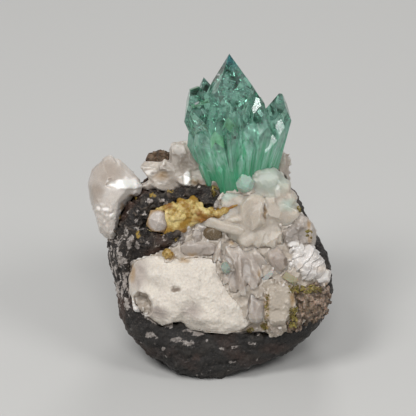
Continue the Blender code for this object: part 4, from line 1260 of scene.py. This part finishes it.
def spread(heights, columns, rows, cells, pick):
    """Gives each cell of a grid the highest or lowest value round it."""
    reach = range(-cells, cells + 1)
    offsets = [(i, j) for i in reach for j in reach if i * i + j * j <= cells * cells]
    result = []
    for row in range(rows):
        for column in range(columns):
            near = ((min(max(row + j, 0), rows - 1), min(max(column + i, 0), columns - 1))
                    for i, j in offsets)
            result.append(pick(heights[r * columns + c] for r, c in near))
    return result


def build_lining(settings):
    """The white crystal skin that lines the cavity and closes the creases between the larger pieces."""
    tree = front_tree()
    chance = random.Random(61)
    left, bottom = min(x for x, _ in LINED), min(y for _, y in LINED)
    columns = int((max(x for x, _ in LINED) - left) / LINING_STEP) + 2
    rows = int((max(y for _, y in LINED) - bottom) / LINING_STEP) + 2
    places = [(left + LINING_STEP * column, bottom + LINING_STEP * row)
              for row in range(rows) for column in range(columns)]
    hits = [landing(tree, x, y) for x, y in places]
    own = [hit.z if hit else CAVITY_DEPTH for hit in hits]
    closed = spread(spread(own, columns, rows, CLOSING, max), columns, rows, CLOSING, min)
    bm = bmesh.new()
    verts = []
    for (x, y), deep, shut in zip(places, own, closed):
        sunk = 0.85 + 0.55 * noise.noise(Vector((x / 1.4, y / 1.4, 0.0)))
        verts.append(bm.verts.new((x, y, shut - sunk if shut - deep > 1.0 else min(shut, deep) - 0.7)))
    for row in range(rows - 1):
        for column in range(columns - 1):
            first = row * columns + column
            corners = (first, first + 1, first + columns + 1, first + columns)
            x, y = places[first]
            is_lined = inside_outline(x, y, LINED) and not in_spots(Vector((x, y, 0.0)), (TOOTH,))
            is_crease = max(closed[corner] - own[corner] for corner in corners) > 0.7
            is_backed = min(own[corner] for corner in corners) > -10
            if is_lined and is_crease and is_backed:
                bm.faces.new([verts[corner] for corner in corners])
    delete_loose(bm)
    raise_sheet(bm, -LINING_THICKNESS)
    for number in range(COUNTS["lining"]):
        spot = chance.randrange(len(places))
        x, y = places[spot]
        if not inside_outline(x, y, LINED) or closed[spot] - own[spot] < 0.9:
            continue
        half_width = chance.uniform(0.35, 0.75)
        gem = cut_gem((half_width, 0.6 * half_width, chance.uniform(0.8, 1.3)), 4, number)
        lean = turned(chance.uniform(-0.8, 0.8), chance.uniform(-0.8, 0.8), chance.uniform(0, 3.1))
        pour(bm, gem, Matrix.Translation((x, y, closed[spot] - chance.uniform(1.1, 1.9))) @ lean)
    mesh = fused(bm, MESH_SIZES["lining"], 0)
    sculpt(mesh, lambda place: 0.06 * noise.noise(place / 1.1))
    store_relief(mesh)
    store(mesh, "pearl", [0.0] * len(mesh.vertices))
    store_spots(mesh, "rusty", 0.9, RUSTY, wobble=0.8)
    store_spots(mesh, "greyed", 0.7, GREYED_AND_SHADED, wobble=1.2, size=2.5)
    material = white_material("stilbite_lining", settings, "#bfb3a5", "#93887c", gloss=0.34)
    finish_piece("stilbite_cavity_lining", mesh, material, "stilbite_knot")


def satin_height(place):
    return 0.13 * noise.noise(place / 1.9) + 0.05 * noise.noise(place / 0.7)


def fan_height(place):
    """Satin with fine slanting streaks on the dome and one short fissure beside the prow."""
    slant, run = 0.8 * place.x + 0.6 * place.y, 0.6 * place.x - 0.8 * place.y
    streak = 0.12 * noise.noise(Vector((slant / 0.55, run / 5.0, place.z / 3.0)))
    fissure = in_spots(place, ((15.3, -0.8, 0.45, 2.8),), wobble=0.3)
    return satin_height(place) + streak * smooth_step(place.y, 0.0, 4.0) - 1.1 * fissure


def ribbed_height(place):
    """Wavy slanting ribs, as the edges of a stack of leaves are."""
    along = 0.84 * place.x - 0.54 * place.y + 1.5 * noise.noise(place / 2.9) + 0.4 * noise.noise(place / 1.1)
    coarse, fine = (along / 2.1) % 1.0, (along / 0.75) % 1.0
    return 0.6 * coarse + 0.16 * fine + 0.25 * noise.noise(place / 1.5)


def ridge_height(place):
    return 0.14 * noise.noise(place / 1.7) + 0.10 * noise.noise(place / 0.7)


def felt_height(place):
    """The mound's felt: fine pores and tufts on its right, smooth on the left."""
    felt = smooth_step(place.x, -17.0, -13.0)
    total = 0.75 * noise.noise(place / 4.4) + 0.26 * noise.noise(place / 1.9)
    pore = noise.voronoi(place / 0.95)[0][0]
    total += felt * (0.15 * noise.noise(place / 0.6) + 0.13 * (min(pore, 0.8) - 0.35))
    hollow = in_spots(place, ((-17.4, -26.0, 4.2, 4.8),), wobble=0.2)
    total += hollow * 0.7 * noise.noise(place / 1.6 + Vector((5.0, 2.0, 0.0)))
    pit = in_spots(place, ((-8.6, -21.6, 1.9, 1.0),), wobble=0.2)
    return total - 0.7 * pit


def grainy_height(place):
    return 0.30 * noise.noise(place / 1.7) + 0.20 * noise.noise(place / 0.75)


def lobe_height(place):
    """Smooth above, sugary below and at the right."""
    grainy = smooth_step(-place.y, -3.0, 1.0)
    return (0.16 * noise.noise(place / 3.0) + 0.05 * noise.noise(place / 1.2)
            + grainy * (0.26 * noise.noise(place / 0.95) + 0.12 * noise.noise(place / 0.5)))


def white_mesh(node, voxel, height, rounding=2, scatter=None, fill=12):
    """A white piece's core and blades in one skin, with its relief, stains, spots of painted shade and pearly
    faces.
    """
    bm = face_copy(node)
    skin = BVHTree.FromBMesh(bm)
    if node not in SMOOTH_CORES:
        draw_back(bm, CORE_SHRINK)
    for number, row in enumerate(BLADES.get(node, ())):
        add_blade(bm, *row, seed=number + len(node))
    if scatter:
        scatter_blades(bm, skin, *scatter)
    mesh = fused(bm, voxel, rounding)
    fill_creases(mesh, fill)
    sculpt(mesh, height)
    cut_faces(mesh, CLEAVED_FACES.get(node, ()))
    store_relief(mesh)
    store_spots(mesh, "rusty", 0.8, RUSTY, behind=0.0)
    store_spots(mesh, "greyed", 0.9, GREYED_AND_SHADED, behind=0.2, wobble=1.2, size=2.5)
    store_spots(mesh, "dusty", 1.4, DUST_AND_SHADE, behind=0.0, most=0.85)
    return mesh


def finish_white(name, node, material, voxel, height, **shaping):
    """A white piece in place of its CAD node."""
    finish_piece(name, white_mesh(node, voxel, height, **shaping), material, node, node)


def build_mound(settings):
    """The creamy felted mound at the front of the cavity."""
    felt = white_material("stilbite_felt", settings, "#e8dfd2", "#b9ada4", grain=0.5, gloss=0.62, soft=0.30,
                          grain_bump=0.12, crease=0.26)
    finish_white("stilbite_felted_mound", "stilbite_mound", felt, settings.voxel / MM, felt_height,
                 rounding=3)


def build_left_lobe(settings):
    """The pearly dome at the upper left."""
    pearl = white_material("stilbite_pearly_dome", settings, "#e0d8d0", "#b9aca0", soft=0.5, passing=0.08)
    finish_white("stilbite_pearly_lobe", "stilbite_left_lobe", pearl, settings.voxel / MM, lobe_height,
                 rounding=4, scatter=(30, 6, (0.3, 0.7), (0.8, 1.6), (-25, 4, -2), -5.0), fill=30)


def build_back(settings):
    """The white crystals behind the rock's ridge and behind the spray, and the brown knob."""
    satin = white_material("stilbite_satin_back", settings, "#d6cbbf", "#93877a", soft=0.4, passing=0.12)
    rows = (("stilbite_back_ridge", (-7, 10, -4), 70), ("stilbite_back_right", (16, 11, -9), 40))
    for node, centre, count in rows:
        finish_white(f"{node}_crystals", node, satin, settings.voxel / MM, ridge_height,
                     scatter=(count, 8, (0.3, 0.8), (1.2, 3.0), centre, -2.0), fill=9)
    build_knob()


def build_knob():
    """The brown granular knob: clay-coated grains on the ridge."""
    bm = face_copy("brown_knob")
    skin = BVHTree.FromBMesh(bm)
    chance = random.Random(31)
    for number in range(COUNTS["knob"]):
        heading = random_heading(chance)
        hit = skin.ray_cast(KNOB_CENTRE + heading * 30.0, -heading)[0]
        if hit is not None:
            add_grain(bm, hit, (0.35, 0.85), chance, seed=number)
    mesh = fused(bm, MESH_SIZES["knob"], 1)
    store_relief(mesh, 8)
    clay = grain_material("clay_grains", linear("#7a6450"), linear("#56422f"), linear("#2a1e15"), 0.7,
                          roughness=0.8)
    finish_piece("brown_grain_knob", mesh, clay, "brown_knob", "brown_knob")


def build_fan(settings):
    """The smooth fan of stilbite under the spray's foot."""
    mesh = white_mesh("stilbite_fan", 0.85 * settings.voxel / MM, fan_height, fill=110)
    store_spots(mesh, "minty", 0.9, MINTY, wobble=1.0, size=2.0)
    satin = white_material("stilbite_satin", settings, "#d3c8ba", "#b7afa2", soft=0.95, passing=0.12)
    finish_piece("stilbite_smooth_fan", mesh, satin, "stilbite_fan", "stilbite_fan")


def build_middle(settings):
    """The small white crystals, the lying blade and the clear dome in the middle of the cavity."""
    white = white_material("stilbite_glassy_white", settings, "#d2c8be", "#aa9e94", gloss=0.26, passing=0.08)
    smoky = white_material("stilbite_smoky_clear", settings, "#88765d", "#726149", gloss=0.2, soft=0.5,
                           passing=0.3)
    fine = 0.8 * settings.voxel / MM
    finish_white("stilbite_knot_crystals", "stilbite_knot", white, fine, satin_height, rounding=1, fill=24)
    finish_white("stilbite_lying_blade", "stilbite_band", white, fine, satin_height, rounding=3)
    finish_white("stilbite_clear_dome", "stilbite_grey_dome", smoky, fine, satin_height, rounding=4)


def build_sheaf(settings):
    """The radiating sheaf, the oval crystal beside it and the small prism below that."""
    sheaf = white_material("stilbite_grey_sheaf", settings, "#d0c5ba", "#aa9d92", gloss=0.26, soft=0.85,
                           passing=0.1)
    lilac = white_material("stilbite_lilac", settings, "#d0c4b9", "#b2a59b", gloss=0.28, soft=0.8,
                           passing=0.12)
    glass = pale_apophyllite_material("stilbite_clear_prism", "#bfbebb", "#e2e0dc", 0.3)
    voxel = settings.voxel / MM
    finish_white("stilbite_radiating_sheaf", "stilbite_sheaf", sheaf, voxel, satin_height, fill=60)
    finish_white("stilbite_oval", "stilbite_pebble", lilac, 0.8 * voxel, satin_height, rounding=4)
    prism = pointed_crystal((14.9, -19.3, 4.5), (17.7, -16.5, 6.8), 0.62, 45, 0.6, root_share=1.0, bevel=0.06)
    finish_piece("stilbite_prism", mesh_of(prism, "needle"), glass, "stilbite_needle", "stilbite_needle")


def build_right(settings):
    """The wedge at the upper right rim, the tall block and the rounded crystal beside it."""
    wedge = white_material("stilbite_streaked_grey", settings, "#cac0b6", "#9a8f86", gloss=0.28, passing=0.08)
    block = white_material("stilbite_sugary", settings, "#beb2a2", "#998d81", gloss=0.5, grain=0.6,
                           grain_bump=0.08)
    clear = white_material("stilbite_frosted", settings, "#d8d0c7", "#b8ada4", gloss=0.28, soft=0.8,
                           passing=0.12)
    voxel = 0.9 * settings.voxel / MM
    finish_white("stilbite_streaked_wedge", "stilbite_wedge", wedge, voxel, grainy_height, fill=30)
    finish_white("stilbite_tall_block", "stilbite_block", block, voxel, grainy_height,
                 scatter=(90, 9, (0.3, 0.7), (0.8, 1.8), (18, -25, 0)))
    finish_white("stilbite_frosted_round", "stilbite_round", clear, voxel, satin_height, rounding=3)


def build_heulandite(settings):
    """The pearly ribbed crystal and the white plate at the right rim."""
    pearl = white_material("heulandite_pearly", settings, "#d2cac4", "#857b74", gloss=0.18, soft=0.2,
                           grain=0.8, crease=0.5)
    voxel = 0.75 * settings.voxel / MM
    bm = face_copy("heulandite_pearly")
    for row in RIBBED_BLADES:
        add_blade(bm, *row, seed=5)
    mesh = fused(bm, voxel, 1)
    cut_faces(mesh, CLEAVED_FACES["heulandite_pearly"])
    sculpt(mesh, ribbed_height)
    store_relief(mesh, 8)
    store_spots(mesh, "rusty", 0.5, RUSTY)
    store_spots(mesh, "greyed", 0.8, RIBBED_SHADED, wobble=1.0)
    # The whole ribbed crystal is made partly pearly: smoother, and lightened by painted sheen.
    mesh.attributes["pearl"].data.foreach_set("value", [0.4] * len(mesh.vertices))
    finish_piece("heulandite_ribbed", mesh, pearl, "heulandite_pearly", "heulandite_pearly")
    finish_white("heulandite_rim_plate", "heulandite_plate", pearl, voxel, satin_height, rounding=1)


def build_crust(settings):
    """The honey crust with its globes, the crystal set in it and the small drop."""
    material = crust_material(settings)
    bm = face_copy("honey_crust")
    skin = BVHTree.FromBMesh(bm)
    draw_back(bm, 0.3)
    chance = random.Random(41)
    for _ in range(COUNTS["crust"]):
        start = chance.randrange(len(CRUST_PATH) - 1)
        along = Vector(CRUST_PATH[start]).lerp(Vector(CRUST_PATH[start + 1]), chance.random())
        hit = landing(skin, along.x + chance.gauss(0, 1.6), along.y + chance.gauss(0, 1.7))
        if hit is None:
            hit = landing(skin, *along)
        if hit is not None:
            size = chance.uniform(0.35, 1.0)
            globe = bmesh.ops.create_icosphere(bm, subdivisions=2, radius=size)["verts"]
            bmesh.ops.translate(bm, vec=hit - Vector((0, 0, 0.35 * size)), verts=globe)
    for base, end, half_width in CRUST_TONGUES:
        add_blade(bm, base, end, half_width, half_width, 0, 0.8, 3, detail=3)
    mesh = fused(bm, MESH_SIZES["crust"], 1)
    sculpt(mesh, lambda place: 0.09 * noise.noise(place / 0.9) + 0.05 * noise.noise(place / 0.4))
    store_relief(mesh, 8)
    store_spots(mesh, "rusty", 0.9, CRUST_RUSTY, wobble=0.7)
    finish_piece("honey_globular_crust", mesh, material, "honey_crust", "honey_crust")

    drop = bmesh.new()
    for _ in range(COUNTS["drop"]):
        add_grain(drop, DROP_CENTRE + random_heading(chance) * 0.85, (0.35, 0.7), chance)
    mesh = fused(drop, MESH_SIZES["drop"], 1)
    store_relief(mesh, 6)
    store(mesh, "rusty", [0.25] * len(mesh.vertices))
    finish_piece("honey_grain_drop", mesh, material, "honey_drop", "honey_drop")
    build_set_crystal(bpy.context.scene.specimen_whites)


def build_set_crystal(settings):
    """The white crystal set in the crust, with yellow round its foot."""
    bm = bmesh.new()
    low = [bm.verts.new((x, y, SET_CRYSTAL_BASE)) for x, y in SET_CRYSTAL_OUTLINE]
    high = [bm.verts.new((x, y, SET_CRYSTAL_BASE + SET_CRYSTAL_HEIGHT)) for x, y in SET_CRYSTAL_OUTLINE]
    bm.faces.new(low)
    bm.faces.new(high)
    for side in range(len(low)):
        bm.faces.new((low[side - 1], low[side], high[side], high[side - 1]))
    bmesh.ops.recalc_face_normals(bm, faces=bm.faces)
    middle = (*SET_CRYSTAL_CENTRE, SET_CRYSTAL_PEAK)
    for normal in ((-0.40, 0.45, 0.8), (0.58, 0.25, 0.8), (0.15, -0.60, 0.8), (-0.62, -0.30, 0.8)):
        slice_off(bm, middle, Vector(normal).normalized())
    bmesh.ops.triangulate(bm, faces=bm.faces)
    mesh = fused(bm, MESH_SIZES["set_crystal"], 1)
    sculpt(mesh, lambda place: 0.08 * noise.noise(place / 0.9) + 0.08 * noise.noise(place / 0.4))
    cut_faces(mesh, ())
    store_relief(mesh, 8)
    from_centre = [(vert.co.xy - SET_CRYSTAL_CENTRE).length for vert in mesh.vertices]
    store(mesh, "rusty", [smooth_step(distance, 2.2, 3.1) for distance in from_centre])
    store(mesh, "greyed", [0.1] * len(mesh.vertices))
    white = white_material("stilbite_set_crystal", settings, "#d6ccc4", "#b3a89e", gloss=0.25)
    finish_piece("crust_set_crystal", mesh, white, "crust_crystal", "crust_crystal")


def build_druse(settings):
    """The brown and olive druse, the prism above it and loose grains between the white pieces."""
    bm = face_copy("olive_druse")
    skin = BVHTree.FromBMesh(bm)
    draw_back(bm, 0.3)
    chance = random.Random(53)
    for number in range(COUNTS["druse"]):
        hit = landing(skin, chance.uniform(*DRUSE_ACROSS), chance.uniform(*DRUSE_UP))
        if hit is not None:
            add_grain(bm, hit, (0.28, 0.62), chance, seed=number, shape=(1.0, 0.8, 1.3), cuts=4)
    mesh = fused(bm, MESH_SIZES["druse"], 0)
    store_relief(mesh, 8)
    druse = grain_material("druse_brown_pink", settings.druse_colour, linear("#7d6a55"), linear("#2c2218"),
                           0.9)
    finish_piece("druse_grains", mesh, druse, "olive_druse", "olive_druse")

    prism = pointed_crystal((20.5, -17.9, 4.1), (24.5, -20.3, 5.4), 1.0, 45, 0.9, root_share=1.0, bevel=0.07)
    glass = pale_apophyllite_material("olive_prism", "#a19a7c", "#c4bea2", 0.25)
    finish_piece("olive_clear_prism", mesh_of(prism, "olive"), glass, "olive_prism", "olive_prism")

    tree = front_tree()
    grains = bmesh.new()
    for across, up, half_width, half_height, count in GRAIN_PATCHES:
        for _ in range(2 * count):
            x = across + chance.uniform(-half_width, half_width)
            y = up + chance.uniform(-half_height, half_height)
            hit = landing(tree, x, y)
            if hit is not None:
                add_grain(grains, hit, (0.13, 0.32), chance)
    olive = grain_material("olive_grains", settings.olive_colour, linear("#75682f"), linear("#4a3a1c"), 0.6)
    finish_piece("olive_loose_grains", fused(grains, MESH_SIZES["grains"], 0), olive, "olive_druse")


def front_tree():
    """Everything that is already finished, as one tree in face millimetres to drop small grains on."""
    bm = bmesh.new()
    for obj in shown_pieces():
        if obj.type == "MESH" and not obj.name.startswith("apophyllite_veils"):
            mesh = obj.data.copy()
            mesh.transform(TO_FACE)
            bm.from_mesh(mesh)
            bpy.data.meshes.remove(mesh)
    tree = BVHTree.FromBMesh(bm)
    bm.free()
    return tree


def add_softbox(name, heading, distance, power, side):
    """A square soft light, aimed at the middle of the open face."""
    light = bpy.data.lights.new(name, "AREA")
    light.shape = "SQUARE"
    light.size = side
    light.energy = power
    obj = bpy.data.objects.new(name, light)
    heading = Vector(heading).normalized()
    obj.location = Vector((0, 0, FACE_HEIGHT * MM)) + heading * distance
    obj.rotation_euler = heading.to_track_quat("Z", "Y").to_euler()
    bpy.context.scene.collection.objects.link(obj)


def build_stage(settings):
    """A plain pale floor, softboxes, a dim room and the camera at the photograph's angle."""
    bm = bmesh.new()
    bmesh.ops.create_grid(bm, x_segments=1, y_segments=1, size=settings.floor_size / 2)
    mesh = mesh_of(bm, "studio_floor")
    material, _, shader = new_material("matte_backdrop_paper")
    fill_inputs(shader, {"Base Color": settings.floor_colour, "Roughness": 0.9})
    mesh.materials.append(material)
    floor = bpy.data.objects.new("studio_floor", mesh)
    bpy.context.scene.collection.objects.link(floor)
    floor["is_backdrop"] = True

    for row in SOFTBOXES:
        add_softbox(*row, settings.softbox_side)

    world = bpy.data.worlds.new("dim_room")
    world.use_nodes = True
    fill_inputs(world.node_tree.nodes["Background"], {"Color": linear("#f2f4f7"),
                                                      "Strength": settings.surround})
    scene = bpy.context.scene
    scene.world = world
    scene.view_settings.view_transform = "Standard"
    scene.cycles.use_denoising = True
    scene.cycles.transmission_bounces = 14
    scene.cycles.max_bounces = 16
    scene.cycles.sample_clamp_indirect = 4.0

    camera = bpy.data.cameras.new("camera")
    camera.sensor_width = SENSOR_WIDTH
    camera.lens = SENSOR_WIDTH / VIEW_WIDTH * CAMERA_DISTANCE
    camera.clip_start = 0.01
    obj = bpy.data.objects.new("camera", camera)
    obj.location = (0.0, -CAMERA_DISTANCE * math.cos(CAMERA_ELEVATION),
                    FACE_HEIGHT * MM + CAMERA_DISTANCE * math.sin(CAMERA_ELEVATION))
    obj.rotation_euler = (math.pi / 2 - CAMERA_ELEVATION, 0.0, 0.0)
    scene.collection.objects.link(obj)
    scene.camera = obj


class SPECIMEN_OT_rock(bpy.types.Operator):
    """Builds the basalt round the cavity"""

    bl_idname = "specimen.rock"
    bl_label = "Rock"

    def execute(self, context):
        build_rock(context.scene.specimen_rock)
        return {"FINISHED"}


class SPECIMEN_OT_spray(bpy.types.Operator):
    """Builds the fan of green crystals"""

    bl_idname = "specimen.spray"
    bl_label = "Spray"

    def execute(self, context):
        build_spray(context.scene.specimen_spray)
        return {"FINISHED"}


class SPECIMEN_OT_small_apophyllite(bpy.types.Operator):
    """Builds the pale bud and the blue-green chip"""

    bl_idname = "specimen.small_apophyllite"
    bl_label = "Bud and chip"

    def execute(self, context):
        build_small_apophyllite()
        return {"FINISHED"}


class SPECIMEN_OT_mound(bpy.types.Operator):
    """Builds the felted mound"""

    bl_idname = "specimen.mound"
    bl_label = "Mound"

    def execute(self, context):
        build_mound(context.scene.specimen_whites)
        return {"FINISHED"}


class SPECIMEN_OT_left_lobe(bpy.types.Operator):
    """Builds the pearly dome at the left"""

    bl_idname = "specimen.left_lobe"
    bl_label = "Left lobe"

    def execute(self, context):
        build_left_lobe(context.scene.specimen_whites)
        return {"FINISHED"}


class SPECIMEN_OT_back(bpy.types.Operator):
    """Builds the white crystals and the brown knob at the back"""

    bl_idname = "specimen.back"
    bl_label = "Back crystals"

    def execute(self, context):
        build_back(context.scene.specimen_whites)
        return {"FINISHED"}


class SPECIMEN_OT_fan(bpy.types.Operator):
    """Builds the smooth stilbite fan"""

    bl_idname = "specimen.fan"
    bl_label = "Stilbite fan"

    def execute(self, context):
        build_fan(context.scene.specimen_whites)
        return {"FINISHED"}


class SPECIMEN_OT_middle(bpy.types.Operator):
    """Builds the small crystals in the middle of the cavity"""

    bl_idname = "specimen.middle"
    bl_label = "Middle crystals"

    def execute(self, context):
        build_middle(context.scene.specimen_whites)
        return {"FINISHED"}


class SPECIMEN_OT_sheaf(bpy.types.Operator):
    """Builds the radiating sheaf, the oval crystal and the small prism"""

    bl_idname = "specimen.sheaf"
    bl_label = "Sheaf"

    def execute(self, context):
        build_sheaf(context.scene.specimen_whites)
        return {"FINISHED"}


class SPECIMEN_OT_right(bpy.types.Operator):
    """Builds the wedge, the tall block and the rounded crystal"""

    bl_idname = "specimen.right"
    bl_label = "Right crystals"

    def execute(self, context):
        build_right(context.scene.specimen_whites)
        return {"FINISHED"}


class SPECIMEN_OT_heulandite(bpy.types.Operator):
    """Builds the pearly ribbed crystal and the plate"""

    bl_idname = "specimen.heulandite"
    bl_label = "Heulandite"

    def execute(self, context):
        build_heulandite(context.scene.specimen_whites)
        return {"FINISHED"}


class SPECIMEN_OT_crust(bpy.types.Operator):
    """Builds the honey crust, its crystal and its drop"""

    bl_idname = "specimen.crust"
    bl_label = "Honey crust"

    def execute(self, context):
        build_crust(context.scene.specimen_crust)
        return {"FINISHED"}


class SPECIMEN_OT_druse(bpy.types.Operator):
    """Builds the druse, the olive prism and the loose grains"""

    bl_idname = "specimen.druse"
    bl_label = "Druse and grains"

    def execute(self, context):
        build_druse(context.scene.specimen_crust)
        return {"FINISHED"}


class SPECIMEN_OT_lining(bpy.types.Operator):
    """Builds the small white crystals that line the cavity"""

    bl_idname = "specimen.lining"
    bl_label = "Cavity lining"

    def execute(self, context):
        build_lining(context.scene.specimen_whites)
        return {"FINISHED"}


class SPECIMEN_OT_stage(bpy.types.Operator):
    """Builds the floor, the lights and the camera"""

    bl_idname = "specimen.stage"
    bl_label = "Studio"

    def execute(self, context):
        build_stage(context.scene.specimen_studio)
        return {"FINISHED"}


OPERATORS = (
    SPECIMEN_OT_rock, SPECIMEN_OT_spray, SPECIMEN_OT_small_apophyllite, SPECIMEN_OT_mound,
    SPECIMEN_OT_left_lobe, SPECIMEN_OT_back, SPECIMEN_OT_fan, SPECIMEN_OT_middle, SPECIMEN_OT_sheaf,
    SPECIMEN_OT_right, SPECIMEN_OT_heulandite, SPECIMEN_OT_crust, SPECIMEN_OT_lining, SPECIMEN_OT_druse,
    SPECIMEN_OT_stage,
)
SETTINGS = {
    "specimen_spray": SpraySettings,
    "specimen_whites": WhiteSettings,
    "specimen_rock": RockSettings,
    "specimen_crust": CrustSettings,
    "specimen_studio": StudioSettings,
}


class SPECIMEN_PT_panel(bpy.types.Panel):
    """Lists the specimen's pieces and settings"""

    bl_label = "Specimen"
    bl_idname = "SPECIMEN_PT_panel"
    bl_space_type = "VIEW_3D"
    bl_region_type = "UI"
    bl_category = "Specimen"

    def draw(self, context):
        for operator in OPERATORS:
            self.layout.operator(operator.bl_idname)
        for name in SETTINGS:
            settings = getattr(context.scene, name)
            box = self.layout.box()
            for key in settings.__annotations__:
                box.prop(settings, key)


def register():
    for name, group in SETTINGS.items():
        bpy.utils.register_class(group)
        setattr(bpy.types.Scene, name, PointerProperty(type=group))
    for operator in OPERATORS:
        bpy.utils.register_class(operator)
    bpy.utils.register_class(SPECIMEN_PT_panel)


def unregister():
    bpy.utils.unregister_class(SPECIMEN_PT_panel)
    for operator in reversed(OPERATORS):
        bpy.utils.unregister_class(operator)
    for name, group in SETTINGS.items():
        delattr(bpy.types.Scene, name)
        bpy.utils.unregister_class(group)


def main():
    register()
    for operator in OPERATORS:
        family, name = operator.bl_idname.split(".")
        getattr(getattr(bpy.ops, family), name)()


if __name__ == "__main__":
    main()
